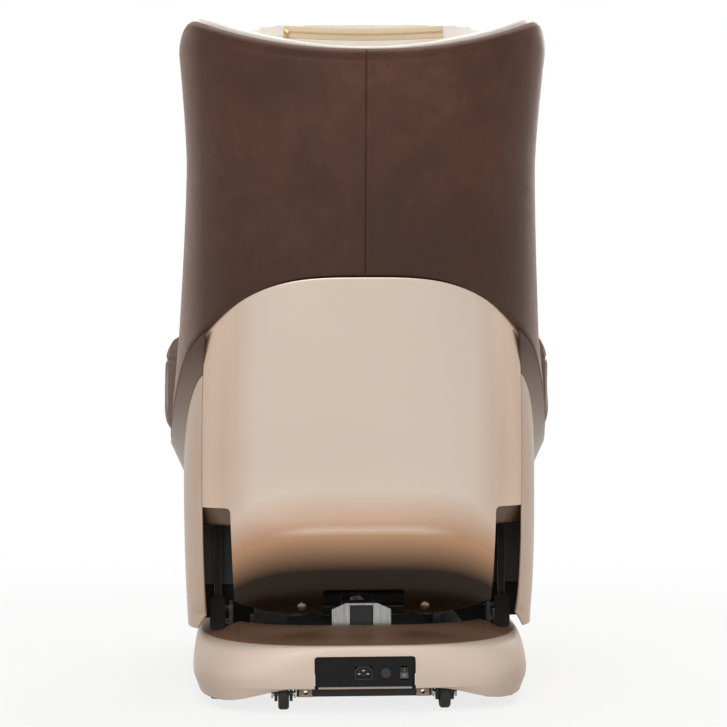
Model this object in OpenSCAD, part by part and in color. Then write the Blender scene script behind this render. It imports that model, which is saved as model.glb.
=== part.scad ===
// Reclining spa massage chair: sliding base, tilting body, leg rest and back massage carriage.
// +Z is up, +Y is the rear, X runs across, the floor is z = 0. Millimetres.

/* [Body] */
// Width over the moulded side panels
body_w = 580; // [540:1:620]
// Height of the wing tips above the floor
back_h = 1069; // [1000:1:1130]
// Rear face of the body where its back starts to lean
body_rear = 424; // [410:1:440]
// Lean of the back from upright, degrees
back_lean = 13; // [9:1:15]
// Height of the top of the rear cover's arch
arch_h = 682; // [640:1:720]
// Height of the underside of the armrests
arm_low = 417; // [400:1:430]
// Height of the top of the armrests
arm_high = 600; // [570:1:630]
// Overhang of each armrest past the side panel
arm_overhang = 33; // [24:1:40]
// Front end of the armrests, ahead of the centre
arm_front = 322; // [290:1:340]
// Front edge of the wings at armrest height
wing_front = 190; // [170:1:210]

/* [Skins] */
// Thickness of the upholstered back shell
shell_t = 12; // [8:1:16]
// Thickness of the rear cover and side panels
cover_t = 4; // [3:0.5:6]
// Groove between neighbouring covers
cover_gap = 2.4; // [1.5:0.1:4]
// Height of the lower edge of the rear cover in its middle
cover_low = 141; // [136:1:150]
// Width of the notch in the rear cover for the drive bracket
notch_w = 130; // [120:1:150]
// Top of that notch
notch_top = 190; // [180:1:205]
// Top of the cut-outs beside the rear cover
cutout_top = 320; // [300:1:335]

/* [Base] */
// Width of the base at its top ridge
base_w = 540; // [510:1:544]
// How far the base bulges past its ridge on each side
base_bulge = 7; // [3:1:8]
// Height of the base's top ridge
base_h = 105; // [98:1:108]
// Rear plane of the base
base_rear = 420; // [410:1:440]
// Front plane of the base, ahead of the centre
base_front = 300; // [290:1:310]
// Rise of the deck from ridge to inner edge
deck_rise = 19; // [12:1:20]
// Depth of the deck at the rear
deck_d = 118; // [100:1:122]
// Wall of the base moulding
base_t = 4; // [3:0.5:5]

/* [Power panel] */
// Width of the recessed panel
panel_w = 157; // [140:1:170]
// Height of the recessed panel
panel_h = 52; // [48:1:54]
// Height of its lower edge above the floor
panel_low = 35; // [34:1:38]
// Depth of its face behind the base moulding
panel_recess = 7; // [5:1:10]

/* [Wheels and feet] */
// Diameter of the transport wheels
wheel_d = 50; // [44:1:54]
// Width of a transport wheel
wheel_w = 17; // [14:1:20]
// Distance between the wheels' centres
wheel_track = 256; // [240:1:280]
// Diameter of the wheel axles
axle_d = 8; // [6:1:10]
// Diameter of the front feet
foot_d = 44; // [36:1:50]

/* [Recline] */
// Travel of the sliding carriage
slide_travel = 80; // [60:5:90]
// Diameter of the tilt hinge pins
hinge_d = 16; // [12:1:18]
// Diameter of the side link pins
link_pin_d = 12; // [10:1:14]
// Diameter of the drive's push rod
rod_d = 18; // [14:1:20]
// Centre distance of the back massage rails
rail_track = 220; // [200:2:240]
// Width of one massage roller
roller_w = 26; // [20:1:30]
// Diameter of a massage roller
roller_d = 62; // [50:1:66]

/* [Seat and leg rest] */
// Width of the seat cushion
seat_w = 416; // [390:2:420]
// Height of the middle of the seat cushion
seat_h = 446; // [430:1:460]
// Thickness of the seat cushion
seat_t = 104; // [90:1:110]
// Front edge of the seat, ahead of the centre
seat_front = 318; // [300:1:320]
// Width of the leg rest
leg_w = 440; // [410:2:450]
// Diameter of the leg rest's hinge pin
leg_pin_d = 14; // [12:1:18]
// Width of one calf channel
calf_w = 142; // [130:1:150]
// Travel of the foot section
foot_travel = 110; // [60:5:120]
// Diameter of the foot section's guide rods
foot_rod_d = 16; // [12:1:18]

/* [Fits] */
// Radial clearance of a running fit
run_fit = 0.05; // [0.02:0.01:0.1]
// Radial clearance of the side links' open upper eyes
open_fit = 1.2; // [1:0.1:2]
// Gap between pieces that pass each other
pass_gap = 1; // [0.6:0.1:2]

/* [Hidden] */

$fn = 48;
LEATHER = [0.29, 0.19, 0.16];
CREAM = [0.88, 0.84, 0.76];
CHAMPAGNE = [0.80, 0.71, 0.63];
BRONZE = [0.45, 0.38, 0.34];
BLACK = [0.07, 0.07, 0.08];
STEEL = [0.62, 0.62, 0.60];
RUBBER = [0.10, 0.10, 0.10];

// ---- Body surface ----
// The body's plan is a superellipse at every height: half width, rear line, straight sides.
corner_n = 3;
lean_from = 300;
lean_full = 400;
tuck_depth = 115;
tuck_height = 160;
waist_z = 870;
tip_round = 43;
seam_s = 0.887;
side_start = 57;

function spow(a, p) = sign(a) * pow(abs(a), p);
function ease(a) = a * a * (3 - 2 * a);
function clamp01(a) = min(1, max(0, a));
function mix(a, b, t) = a + (b - a) * t;
function mirror_x(p) = [-p[0], p[1], p[2]];

// Rear line of the body at height z: leaning back above, tucked under below
function rear_line(z) =
    z > lean_full ? body_rear + tan(back_lean) * (z - (lean_from + lean_full) / 2)
    : z > lean_from ? body_rear + tan(back_lean) * pow(z - lean_from, 2) / (2 * (lean_full - lean_from))
    : body_rear - tuck_depth * (1 - sqrt(1 - pow(min(0.97, (lean_from - z) / tuck_height), 2)));
// Front edge of the wings at height z
function wing_line(z) = z < arm_high ? wing_front
    : wing_front + 240 * pow((z - arm_high) / (back_h - arm_high), 0.9);
// Half width of the back shell at height z
function shell_half(z) = body_w / 2 - 12.5
    + (z < waist_z ? (arm_overhang + 3) * pow((waist_z - z) / (waist_z - arm_low), 1.3)
        : 10 * pow((z - waist_z) / 180, 1.5) - 0.007 * pow(max(0, z - back_h + tip_round), 2));
// Half width of the side panels at height z
function panel_half(z) = body_w / 2 - 4 * pow((z - 340) / 190, 2);
// Lower edge of the back shell at plan angle phi
function shell_low(phi) = arch_h - 140 * pow(abs(sin(phi)), 2.27)
    - (arch_h - 140 - arm_low - 3) * pow(max(0, (abs(phi) - 60) / 30), 1.6);
// Upper edge of the back shell at plan angle phi
rim_dip = 48;
function shell_high(phi) = back_h - rim_dip * (1 - pow(min(1, pow(abs(sin(phi)), 2 / 3) / 0.97), 2.3))
    - 38 * pow(max(0, (abs(phi) - 72) / 18), 2);
// Upper edge of the side panels at plan angle phi
function panel_high(phi) = arm_low - 50 + 164 * (1 - pow(clamp01((abs(phi) - side_start) / (90 - side_start)), 1.35));

function plan_point(phi, z, half, rear, front) = [half * spow(sin(phi), 2 / corner_n),
    rear - (rear - front) * (1 - pow(abs(cos(phi)), 2 / corner_n)), z];
function shell_point(phi, z, inset) = plan_point(phi, z, shell_half(z) - inset,
    rear_line(z) - inset, wing_line(z));
function panel_point(phi, z, inset) = plan_point(phi, z, panel_half(z) - inset,
    rear_line(z) - inset, wing_front);

// ---- Solids from grids of points ----
function quad(a, b, c, d) = [[a, b, c], [a, c, d]];

// Closed sheet between two grids of points. Seen from the near grid's side, rows run up and
// columns run to the right; a looped sheet joins its last column to its first.
module skin(near, far, looped = false) {
    rows = len(near);
    cols = len(near[0]);
    last = looped ? cols - 1 : cols - 2;
    at = function (layer, i, j) (layer * rows + i) * cols + j % cols;
    faces = [for (i = [0 : rows - 2]) for (j = [0 : last]) each concat(
        quad(at(0, i, j), at(0, i + 1, j), at(0, i + 1, j + 1), at(0, i, j + 1)),
        quad(at(1, i, j), at(1, i, j + 1), at(1, i + 1, j + 1), at(1, i + 1, j)),
        i > 0 ? [] : quad(at(0, 0, j), at(0, 0, j + 1), at(1, 0, j + 1), at(1, 0, j)),
        i < rows - 2 ? [] : quad(at(0, i + 1, j), at(1, i + 1, j), at(1, i + 1, j + 1), at(0, i + 1, j + 1)),
        j > 0 || looped ? [] : quad(at(0, i, 0), at(1, i, 0), at(1, i + 1, 0), at(0, i + 1, 0)),
        j < last || looped ? [] : quad(at(0, i, j + 1), at(0, i + 1, j + 1), at(1, i + 1, j + 1), at(1, i, j + 1)))];
    polyhedron(points = [each each near, each each far], faces = faces, convexity = 6);
}

// Solid lofted through closed rings of equal count, closed by a fan at each end
module loft(rings) {
    n = len(rings);
    m = len(rings[0]);
    first = [for (k = [0 : 2]) sum_of(rings[0], k) / m];
    final = [for (k = [0 : 2]) sum_of(rings[n - 1], k) / m];
    faces = concat(
        [for (i = [0 : n - 2]) for (j = [0 : m - 1]) each
            quad(i * m + j, i * m + (j + 1) % m, (i + 1) * m + (j + 1) % m, (i + 1) * m + j)],
        [for (j = [0 : m - 1]) [n * m, (j + 1) % m, j]],
        [for (j = [0 : m - 1]) [n * m + 1, (n - 1) * m + j, (n - 1) * m + (j + 1) % m]]);
    polyhedron(points = [each each rings, first, final], faces = faces, convexity = 4);
}
function sum_of(points, k, i = 0) = i == len(points) ? 0 : points[i][k] + sum_of(points, k, i + 1);

// Cushion: place(u, v, h) puts a point of the unit pad in space; u and v run from -1 to 1 and h is
// the height that top and under give. Seen from the top face, u runs right and v runs up.
module cushion(place, top, under, nu, nv) {
    skin([for (i = [0 : nv]) [for (j = [0 : nu]) place(spread(j, nu), spread(i, nv), top(spread(j, nu), spread(i, nv)))]],
        [for (i = [0 : nv]) [for (j = [0 : nu]) place(spread(j, nu), spread(i, nv), under(spread(j, nu), spread(i, nv)))]]);
}
// Stations that crowd towards the edges of a cushion, where it turns down
function spread(k, n) = sin(90 * (2 * k / n - 1));
// Crown of a cushion: 1 over the middle, falling to 0 at the edges
function crown(u, v) = pow(1 - pow(abs(u), 4), 0.5) * pow(1 - pow(abs(v), 4), 0.5);
// A sewn channel: 1 on the line, 0 further off than its width
function groove(a, centre, width) = exp(-pow((a - centre) / width, 2));

module both_sides() {
    children();
    mirror([1, 0, 0]) children();
}
module rod_x(d, x0, x1) {
    translate([x0, 0, 0]) rotate([0, 90, 0]) cylinder(d = d, h = x1 - x0);
}
module rod_x_at(x, d, length) {
    rod_x(d, x - length / 2, x + length / 2);
}
// Plate standing in the YZ plane between x0 and x1; its outline is given as (y, z)
module plate_x(x0, x1) {
    translate([x0, 0, 0]) rotate([90, 0, 90]) linear_extrude(x1 - x0) children();
}
// Disc in a plate's outline
module eye(at, d) {
    translate(at) circle(d = d);
}
module round_rect(w, h, r) {
    hull() for (x = [-1, 1]) for (y = [-1, 1])
        translate([x * (w / 2 - r), y * (h / 2 - r)]) circle(r = r, $fn = 24);
}

// ---- Base ----
base_mid = 40;
base_n_top = 3;
base_n_wall = 4.5;
base_n_front = 7;
inner_half = base_w / 2 - 41;
// Plan of the base at column angle a: half width, rear and front lines, squareness of the rear
function base_plan(a, half, rear, front, n) = [half * spow(sin(a), 2 / (cos(a) > 0 ? n : base_n_front)),
    base_mid + (cos(a) > 0 ? (rear - base_mid) * spow(cos(a), 2 / n)
        : (front + base_mid) * spow(cos(a), 2 / base_n_front))];
// Height of the base's lower edge: lifted in the middle of the rear, low at the corners
skirt_corner = 15;
skirt_middle = 32;
function skirt_z(x) = mix(skirt_middle, skirt_corner, ease(clamp01((abs(x) - 60) / (base_w / 2 - 90))));
// Rows of the moulding from the deck's inner lip over the ridge to the skirt:
// half width, rear line, front line, squareness, height, share of the skirt's own height
base_rows = [
    [inner_half + base_t, base_rear - deck_d + base_t, base_front - 46, base_n_top, base_h + deck_rise - 8, 0],
    [inner_half + base_t + 1, base_rear - deck_d + base_t + 2, base_front - 45, base_n_top, base_h + deck_rise, 0],
    [inner_half + 21, base_rear - deck_d * 0.5, base_front - 24, base_n_top, base_h + deck_rise * 0.46, 0],
    [base_w / 2 - 4, base_rear - 7, base_front - 4, base_n_top, base_h, 0],
    [base_w / 2, base_rear, base_front, 3.2, base_h - 4, 0],
    [base_w / 2 + base_bulge * 0.6, base_rear + 2, base_front + 2, 3.9, base_h - 18, 0],
    [base_w / 2 + base_bulge, base_rear + 3, base_front + 3, base_n_wall, base_h * 0.57, 0],
    [base_w / 2 + base_bulge - 0.5, base_rear + 2, base_front + 2, base_n_wall, base_h * 0.36, 0],
    [base_w / 2 + base_bulge - 9, base_rear - 4, base_front - 3, base_n_wall, 0, 1]];
base_cols = 58;
function base_point(row, a, inset) = let (p = base_plan(a, row[0] - inset, row[1] - inset, row[2] - inset, row[3]))
    [p[0], p[1], row[5] > 0 ? skirt_z(p[0]) : row[4] - (row[4] > base_h - 1 ? inset : 0)];

module base_shell() {
    turn = [for (j = [0 : base_cols - 1]) 360 * j / base_cols];
    color(CHAMPAGNE) difference() {
        skin([for (row = base_rows) [for (a = turn) base_point(row, a, 0)]],
            [for (row = base_rows) [for (a = turn) base_point(row, a, base_t)]], true);
        // Recess for the supply panel
        translate([0, base_rear - 12, panel_low + panel_h / 2]) rotate([-90, 0, 0])
            linear_extrude(40) round_rect(panel_w + 2 * pass_gap, panel_h + 2 * pass_gap, panel_r);
        // Notches for the lower pins of the swing links
        both_sides() translate([stub_x - 22, link_low[0] - 22, base_h - 6]) cube([28, 46, 40]);
    }
}

rail_x = 165;
rail_w = 40;
rail_h = 30;
rail_z = 44;
rail_rear = base_rear - 34;
rail_front = -base_front + 22;
module base_rails() {
    color(BLACK) both_sides() translate([rail_x - rail_w / 2, rail_front, rail_z])
        cube([rail_w, rail_rear - rail_front, rail_h]);
}
tab_x = 93;
tab_w = 20;
tab_low = 20;
tab_hole_z = 27;
tab_hole_d = 7;
crossbar_w = 30;
fork_t = 5;
rear_bar_t = 18;
rear_bar_y = rail_rear - 22;
axle_reach = wheel_w / 2 + pass_gap + fork_t + 2;
axle_head = 3;
rear_bar_half = wheel_track / 2 - axle_reach - axle_head - pass_gap;
module base_crossbars() {
    span = 2 * (rail_x - rail_w / 2);
    color(BLACK) {
        for (y = [rail_front + 20, -60, base_rear - 150])
            translate([-span / 2, y, rail_z]) cube([span, crossbar_w, rail_h]);
        translate([-span / 2, rear_bar_y, rail_z + 16]) cube([span, rear_bar_t, rail_h - 16]);
        difference() {
            translate([-rear_bar_half, rear_bar_y, 20]) cube([2 * rear_bar_half, rear_bar_t, 14]);
            both_sides() translate([tab_x, rear_bar_y - 1, tab_hole_z]) rotate([-90, 0, 0])
                cylinder(d = tab_hole_d, h = rear_bar_t + 2);
        }
    }
}
track_z = rail_z + rail_h;
track_w = 22;
track_h = 14;
module slide_rails() {
    color(STEEL) both_sides() translate([rail_x - track_w / 2, rail_front + 20, track_z])
        cube([track_w, rail_rear - rail_front - 60, track_h]);
}
foot_y = -base_front + 60;
module front_feet() {
    color(RUBBER) both_sides() translate([rail_x, foot_y, 0]) {
        rotate_extrude() polygon([[0, 0], [foot_d / 2 - 2, 0], [foot_d / 2, 2], [foot_d / 2 - 3, 14], [8, 18], [0, 18]]);
        cylinder(d = 14, h = rail_z);
    }
}
module corner_pads() {
    color(RUBBER) both_sides() translate([base_w / 2 - 48, base_rear - 110, 8])
        hull() {
            translate([-12, 0, 0]) cylinder(d = 26, h = 12, $fn = 32);
            translate([10, -10, 0]) cylinder(d = 26, h = 12, $fn = 32);
        }
}
// Tabs with the holes that take the shipping bolts; the holes run on through the lower bar
module frame_tabs() {
    color([0.66, 0.58, 0.46]) both_sides() translate([tab_x, rear_bar_y + rear_bar_t, tab_low]) difference() {
        translate([-tab_w / 2, 0, 0]) cube([tab_w, 4, rail_z + rail_h - tab_low]);
        translate([0, -1, tab_hole_z - tab_low]) rotate([-90, 0, 0]) cylinder(d = tab_hole_d, h = 6);
    }
}

// ---- Transport wheels ----
wheel_x = wheel_track / 2;
wheel_y = base_rear - 42;
fork_w = wheel_w + 2 * pass_gap;
fork_top = rail_z + 16 - wheel_d / 2;
module caster_forks() {
    color(BLACK) both_sides() translate([wheel_x, wheel_y, wheel_d / 2]) {
        for (side = [-1, 1]) plate_side(side);
        translate([-fork_w / 2 - fork_t, -16, wheel_d / 2 + 4]) cube([fork_w + 2 * fork_t, 32, fork_top - wheel_d / 2 - 4]);
    }
}
module plate_side(side) {
    x0 = side > 0 ? fork_w / 2 : -fork_w / 2 - fork_t;
    plate_x(x0, x0 + fork_t) difference() {
        union() {
            circle(d = 24);
            translate([-16, 0]) square([32, wheel_d / 2 + 4]);
        }
        circle(d = axle_d);
    }
}
module caster_axles() {
    color(STEEL) both_sides() translate([wheel_x, wheel_y, wheel_d / 2]) {
        rod_x(axle_d, -axle_reach, axle_reach);
        for (end = [-1, 1]) rod_x_at(end * (axle_reach + axle_head / 2), axle_d + 6, axle_head);
    }
}
module caster_wheel() {
    rotate([0, 90, 0]) rotate_extrude() difference() {
        translate([axle_d / 2 + run_fit, -wheel_w / 2]) square([wheel_d / 2 - axle_d / 2 - run_fit, wheel_w]);
        for (side = [-1, 1]) translate([wheel_d / 2, side * wheel_w / 2]) rotate(45) square(4.2, center = true);
        for (side = [-1, 1]) translate([wheel_d * 0.26, side * wheel_w / 2]) square([wheel_d * 0.12, 5], center = true);
    }
}
module caster_wheel_left() {
    color(RUBBER) translate([wheel_x, wheel_y, wheel_d / 2]) caster_wheel();
}
module caster_wheel_right() {
    color(RUBBER) translate([-wheel_x, wheel_y, wheel_d / 2]) caster_wheel();
}

// ---- Power panel ----
panel_y = base_rear - panel_recess;
panel_r = 5;
panel_mid = panel_low + panel_h / 2;
inlet_x = 2;
inlet_w = 27;
inlet_h = 20;
fuse_x = -33;
switch_x = -62;
switch_w = 13;
switch_h = 21;
tray_wall = 1.6;
// Recessed tray with cut-outs for inlet, fuse and switch
module power_panel() {
    color(BLACK) difference() {
        translate([0, panel_y - 4, panel_mid]) rotate([-90, 0, 0])
            linear_extrude(4 + panel_recess - 1) round_rect(panel_w, panel_h, panel_r);
        translate([0, panel_y, panel_mid]) rotate([-90, 0, 0])
            linear_extrude(panel_recess + 1) round_rect(panel_w - 2 * tray_wall, panel_h - 2 * tray_wall, panel_r - tray_wall);
        panel_cut(inlet_x, inlet_w + 0.4, inlet_h + 0.4);
        panel_cut(switch_x, switch_w + 4.4, switch_h + 4.4);
        translate([fuse_x, panel_y - 5, panel_mid]) rotate([-90, 0, 0]) cylinder(d = 13, h = 6);
    }
}
module panel_cut(x, w, h) {
    translate([x - w / 2, panel_y - 5, panel_mid - h / 2]) cube([w, 6, h]);
}
module panel_sill() {
    color(BRONZE) translate([-panel_w / 2 + panel_r, panel_y + 0.2, panel_low + tray_wall + 0.2])
        cube([panel_w - 2 * panel_r, panel_recess - 1.2, 3]);
}
inlet_depth = 22;
pin_pitch = 14;
// Appliance inlet: outer body with an open cavity for the connector
module mains_inlet() {
    color(BLACK) translate([inlet_x, panel_y, panel_mid]) rotate([90, 0, 0]) difference() {
        translate([0, 0, -1.5]) linear_extrude(inlet_depth + 4) inlet_outline(0);
        translate([0, 0, -2]) linear_extrude(inlet_depth - 4) inlet_outline(1.4);
        for (p = pin_places()) translate([p[0], p[1], 0]) translate([-2.1, -1.1, 0]) cube([4.2, 2.2, inlet_depth + 2]);
    }
}
module inlet_outline(inset) {
    w = inlet_w - 2 * inset;
    h = inlet_h - 2 * inset;
    polygon([[-w / 2, -h / 2], [w / 2, -h / 2], [w / 2, h / 2 - 5], [w / 2 - 5, h / 2], [-w / 2 + 5, h / 2], [-w / 2, h / 2 - 5]]);
}
function pin_places() = [[-pin_pitch / 2, -2.2], [pin_pitch / 2, -2.2], [0, 3.2]];
module inlet_pins() {
    color(STEEL) translate([inlet_x, panel_y, panel_mid]) rotate([90, 0, 0])
        for (p = pin_places()) translate([p[0] - 2, p[1] - 1, 5]) cube([4, 2, inlet_depth - 4]);
}
module fuse_holder() {
    color(BLACK) translate([fuse_x, panel_y, panel_mid]) rotate([90, 0, 0]) {
        translate([0, 0, -2.5]) difference() {
            cylinder(d = 15, h = 2.4);
            translate([-5, -0.8, -1]) cube([10, 1.6, 2]);
        }
        translate([0, 0, -0.1]) cylinder(d = 12.6, h = 24);
    }
}
bezel_in = 0.3;
module switch_bezel() {
    color(BLACK) translate([switch_x, panel_y, panel_mid]) rotate([90, 0, 0]) difference() {
        union() {
            translate([0, 0, -1.4]) linear_extrude(1.3) square([switch_w + 7, switch_h + 7], center = true);
            translate([0, 0, -0.2]) linear_extrude(16) square([switch_w + 4, switch_h + 4], center = true);
        }
        translate([0, 0, -2]) linear_extrude(14) square([switch_w + 2 * bezel_in, switch_h + 2 * bezel_in], center = true);
        translate([0, 0, rocker_pivot]) rod_x_at(0, pivot_d + 2 * run_fit, switch_w + 6);
    }
}
rocker_pivot = 6;
pivot_d = 3;
// Two-faced rocker that turns on the axis across its middle
module power_switch() {
    r = rocker_pivot;
    half = switch_h / 2 - 1.6;
    color([0.16, 0.16, 0.17]) translate([switch_x - switch_w / 2 + 0.2, panel_y - r, panel_mid])
        plate_x(0, switch_w - 0.4)
            polygon([[-3, -3], [0, -half], [r + 1.2, -half], [r - 0.6, 0], [r + 3.4, half], [0, half], [-3, 3]]);
    color([0.16, 0.16, 0.17]) translate([0, panel_y - r, panel_mid]) rod_x_at(switch_x, pivot_d, switch_w + 3);
}
module power_supply() {
    color([0.55, 0.56, 0.56]) translate([-70, base_rear - 300, rail_z - 14]) cube([140, 110, 40]);
}

// ---- Drive ----
drive_y = base_rear - deck_d - 8;
drive_z = 132;
bracket_w = 96;
bracket_top = 158;
window_w = 38;
tube_d = 34;
gearbox_d = 92;
rod_rear = drive_y - gearbox_d - 12;
rod_grip = 26;
tube_front = rod_rear - slide_travel - rod_grip;
rod_front = tube_front - 40;
module drive_bracket() {
    foot_z = rail_z + rail_h;
    color(STEEL) {
        translate([0, drive_y, 0]) rotate([90, 0, 0]) linear_extrude(4) difference() {
            polygon([[-bracket_w / 2, foot_z], [bracket_w / 2, foot_z], [bracket_w / 2, bracket_top - 10],
                [bracket_w / 2 - 22, bracket_top], [-bracket_w / 2 + 22, bracket_top], [-bracket_w / 2, bracket_top - 10]]);
            translate([-window_w / 2, base_h]) square([window_w, bracket_top - base_h - 3]);
        }
        translate([-bracket_w / 2, drive_y - 40, foot_z]) cube([bracket_w, 40, 4]);
    }
}
module drive_motor() {
    color(BLACK) {
        translate([-window_w / 2 + 0.6, drive_y - gearbox_d, base_h + 1]) cube([window_w - 1.2, 84, bracket_top - base_h - 6]);
        translate([-30, drive_y - gearbox_d, drive_z - 24]) cube([60, 40, 46]);
        translate([-window_w / 2 + 3, drive_y - 88, foot_top()]) cube([window_w - 6, 60, base_h + 2 - foot_top()]);
    }
}
function foot_top() = rail_z + rail_h + 4;
module drive_tube() {
    color(STEEL) translate([0, drive_y - gearbox_d, drive_z]) rotate([90, 0, 0]) difference() {
        cylinder(d = tube_d, h = drive_y - gearbox_d - tube_front);
        translate([0, 0, 8]) cylinder(d = rod_d + 2 * run_fit, h = drive_y);
    }
}
module drive_rod() {
    color(STEEL) translate([0, rod_front, drive_z]) rotate([-90, 0, 0])
        cylinder(d = rod_d, h = rod_rear - rod_front);
}

// ---- Recline mechanism ----
hinge_y = 230;
hinge_z = 170;
link_low = [220, base_h + 40];
link_high = [225, 310];
link_x = 228;
link_t = 12;
link_w = 32;
stub_x = link_x - 12;
stub_end = link_x + link_t + 5;
module link_brackets() {
    color(BLACK) both_sides() {
        plate_x(stub_x - 6, stub_x) difference() {
            union() {
                eye(link_low, 30);
                translate([link_low[0] - 15, 50]) square([30, link_low[1] - 50]);
            }
            eye(link_low, link_pin_d);
        }
        translate([rail_x + rail_w / 2, link_low[0] - 15, 50]) cube([stub_x - 6 - rail_x - rail_w / 2, 30, 6]);
    }
    color(STEEL) both_sides() translate([0, link_low[0], link_low[1]]) {
        rod_x(link_pin_d, stub_x - 7, stub_end);
        rod_x(link_pin_d + 8, stub_end, stub_end + 3);
    }
}
// Side link: lower eye runs on its pin, the upper eye is open by its clearance
module link() {
    plate_x(link_x, link_x + link_t) difference() {
        union() {
            eye(link_low, link_w);
            eye(link_high, link_w);
            translate([link_low[0] - 11, link_low[1]]) square([27, link_high[1] - link_low[1]]);
        }
        eye(link_low, link_pin_d + 2 * run_fit);
        eye(link_high, link_pin_d + 2 * open_fit);
    }
}
module link_left() {
    color(STEEL) link();
}
module link_right() {
    color(STEEL) mirror([1, 0, 0]) link();
}
frame_x = rail_x - 22;
frame_z = track_z + track_h + 10;
frame_h = 24;
frame_t = 12;
frame_front = rail_front + 84 + slide_travel;
ear_x = frame_x - frame_t - 11;
module slide_frame() {
    color(BLACK) {
        both_sides() {
            translate([frame_x - frame_t, frame_front, frame_z]) cube([frame_t + 34, 354, frame_h / 2]);
            plate_x(ear_x, ear_x + frame_t) difference() {
                union() {
                    eye([hinge_y, hinge_z], 40);
                    translate([hinge_y - 26, frame_z]) square([46, hinge_z - frame_z]);
                }
                eye([hinge_y, hinge_z], hinge_d);
            }
        }
        translate([-frame_x, frame_front, frame_z]) cube([2 * frame_x, 26, frame_h / 2]);
        translate([-frame_x, rod_front - 26, frame_z]) cube([2 * frame_x, 26, frame_h / 2]);
        translate([-24, rod_front - 16, frame_z]) cube([48, 16, drive_z + 16 - frame_z]);
    }
}
module glide_blocks() {
    color([0.85, 0.85, 0.82]) both_sides() for (y = [frame_front + 10, 170])
        translate([rail_x - track_w / 2 - 8, y, track_z + pass_gap]) difference() {
            cube([track_w + 16, 60, track_h + 10 - pass_gap]);
            translate([8 - 0.3, -1, -1]) cube([track_w + 0.6, 62, track_h - pass_gap + 1 + 0.3]);
        }
}
chassis_x = ear_x + frame_t + pass_gap;
chassis_t = 8;
module tilt_pins() {
    color(STEEL) both_sides() translate([0, hinge_y, hinge_z]) {
        rod_x(hinge_d, ear_x - 4, chassis_x + chassis_t + 3);
        rod_x(hinge_d + 8, ear_x - 8, ear_x - 4);
    }
}

// ---- Seat tub and back frame ----
tub_half = body_w / 2 - 8;
tub_rear = 200;
tub_top = seat_h - seat_t - 14;
tub_low = 182;
tub_front = seat_front - 10;
tub_wall = 5;
// Moulded tub under the seat, with ears for the side links behind and the leg rest in front
module seat_tub() {
    depth = tub_rear + tub_front;
    color(BLACK) {
        difference() {
            translate([-tub_half, -tub_front, tub_low]) cube([2 * tub_half, depth, tub_top - tub_low]);
            translate([-tub_half + tub_wall, -tub_front + tub_wall, tub_low - 1])
                cube([2 * (tub_half - tub_wall), depth - 2 * tub_wall, tub_top - tub_low - tub_wall + 1]);
        }
        both_sides() {
            plate_x(stub_x - 12, stub_x - 4) difference() {
                union() {
                    eye(link_high, 30);
                    translate([tub_rear - 1, link_high[1] - 15]) square([link_high[0] - tub_rear + 1, 30]);
                }
                eye(link_high, link_pin_d);
            }
            plate_x(leg_ear_x + leg_ear_t + pass_gap, leg_ear_x + 2 * leg_ear_t + pass_gap) difference() {
                union() {
                    eye([leg_y, leg_z], leg_eye_d);
                    polygon([[leg_y, leg_z - 16], [-tub_front + 1, tub_top - 70], [-tub_front + 1, tub_top], [leg_y, leg_z + 16]]);
                }
                eye([leg_y, leg_z], leg_pin_d);
            }
        }
    }
}
// Steel pins fixed in the tub's ears
module tub_pins() {
    color(STEEL) both_sides() {
        translate([0, link_high[0], link_high[1]]) {
            rod_x(link_pin_d, stub_x - 14, stub_end);
            rod_x(link_pin_d + 8, stub_end, stub_end + 3);
        }
        translate([0, leg_y, leg_z]) {
            rod_x(leg_pin_d, leg_ear_x - 3, leg_ear_x + 2 * leg_ear_t + pass_gap + 3);
            rod_x(leg_pin_d + 7, leg_ear_x - 6, leg_ear_x - 3);
        }
    }
}
back_gap = 48;
frame_x_back = 160;
frame_tube = [30, 20];
back_foot = 262;
back_head = back_h - 84;
function lean_pos(z, off) = [rear_line(z) - off, z];
// Bent plates that carry the back on the tilt pins
module chassis_plates() {
    top = lean_pos(back_foot + 90, back_gap);
    low = lean_pos(back_foot, back_gap);
    color(BLACK) both_sides() plate_x(chassis_x, chassis_x + chassis_t) difference() {
        union() {
            eye([hinge_y, hinge_z], 44);
            polygon([[tub_rear + 0.4, hinge_z + 6], [hinge_y + 12, hinge_z - 18], [low[0] + 4, low[1] - 14],
                [top[0] + 8, top[1]], [top[0] - 22, top[1] + 6], [tub_rear + 0.4, tub_top - 6]]);
        }
        eye([hinge_y, hinge_z], hinge_d + 2 * run_fit);
        translate([290, 255]) circle(d = 44);
    }
}
// Puts children in the plane of the back: local Z runs up the back, local Y to the rear
module on_back(z, off) {
    translate([0, rear_line(lean_full) - off + tan(back_lean) * (z - lean_full), z])
        rotate([-back_lean, 0, 0]) children();
}
module back_frame() {
    length = (back_head - 330) / cos(back_lean);
    color(BLACK) {
        both_sides() on_back(330, back_gap) translate([chassis_x + chassis_t, -10, 0]) cube([frame_tube[0], frame_tube[1], length]);
        for (z = [back_foot + 104, 640, back_head - 24]) on_back(z, back_gap)
            translate([-chassis_x - chassis_t, -8, 0]) cube([2 * (chassis_x + chassis_t), 14, 26]);
    }
}
rail_r = 9;
rail_off = back_gap + 24;
carriage_z = 480;
carriage_h = 120;
carriage_travel = 330;
rail_block = 16;
rail_below = 51;
module massage_rails() {
    length = rail_below + carriage_h + carriage_travel + 2 * rail_block;
    color(STEEL) both_sides() on_back(carriage_z, rail_off) translate([rail_track / 2, 0, -rail_below]) {
        cylinder(r = rail_r, h = length);
        for (z = [6, length - rail_block - 6]) translate([-rail_block / 2, 0, z]) cube([rail_block, rail_block, rail_block]);
    }
}

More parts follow.
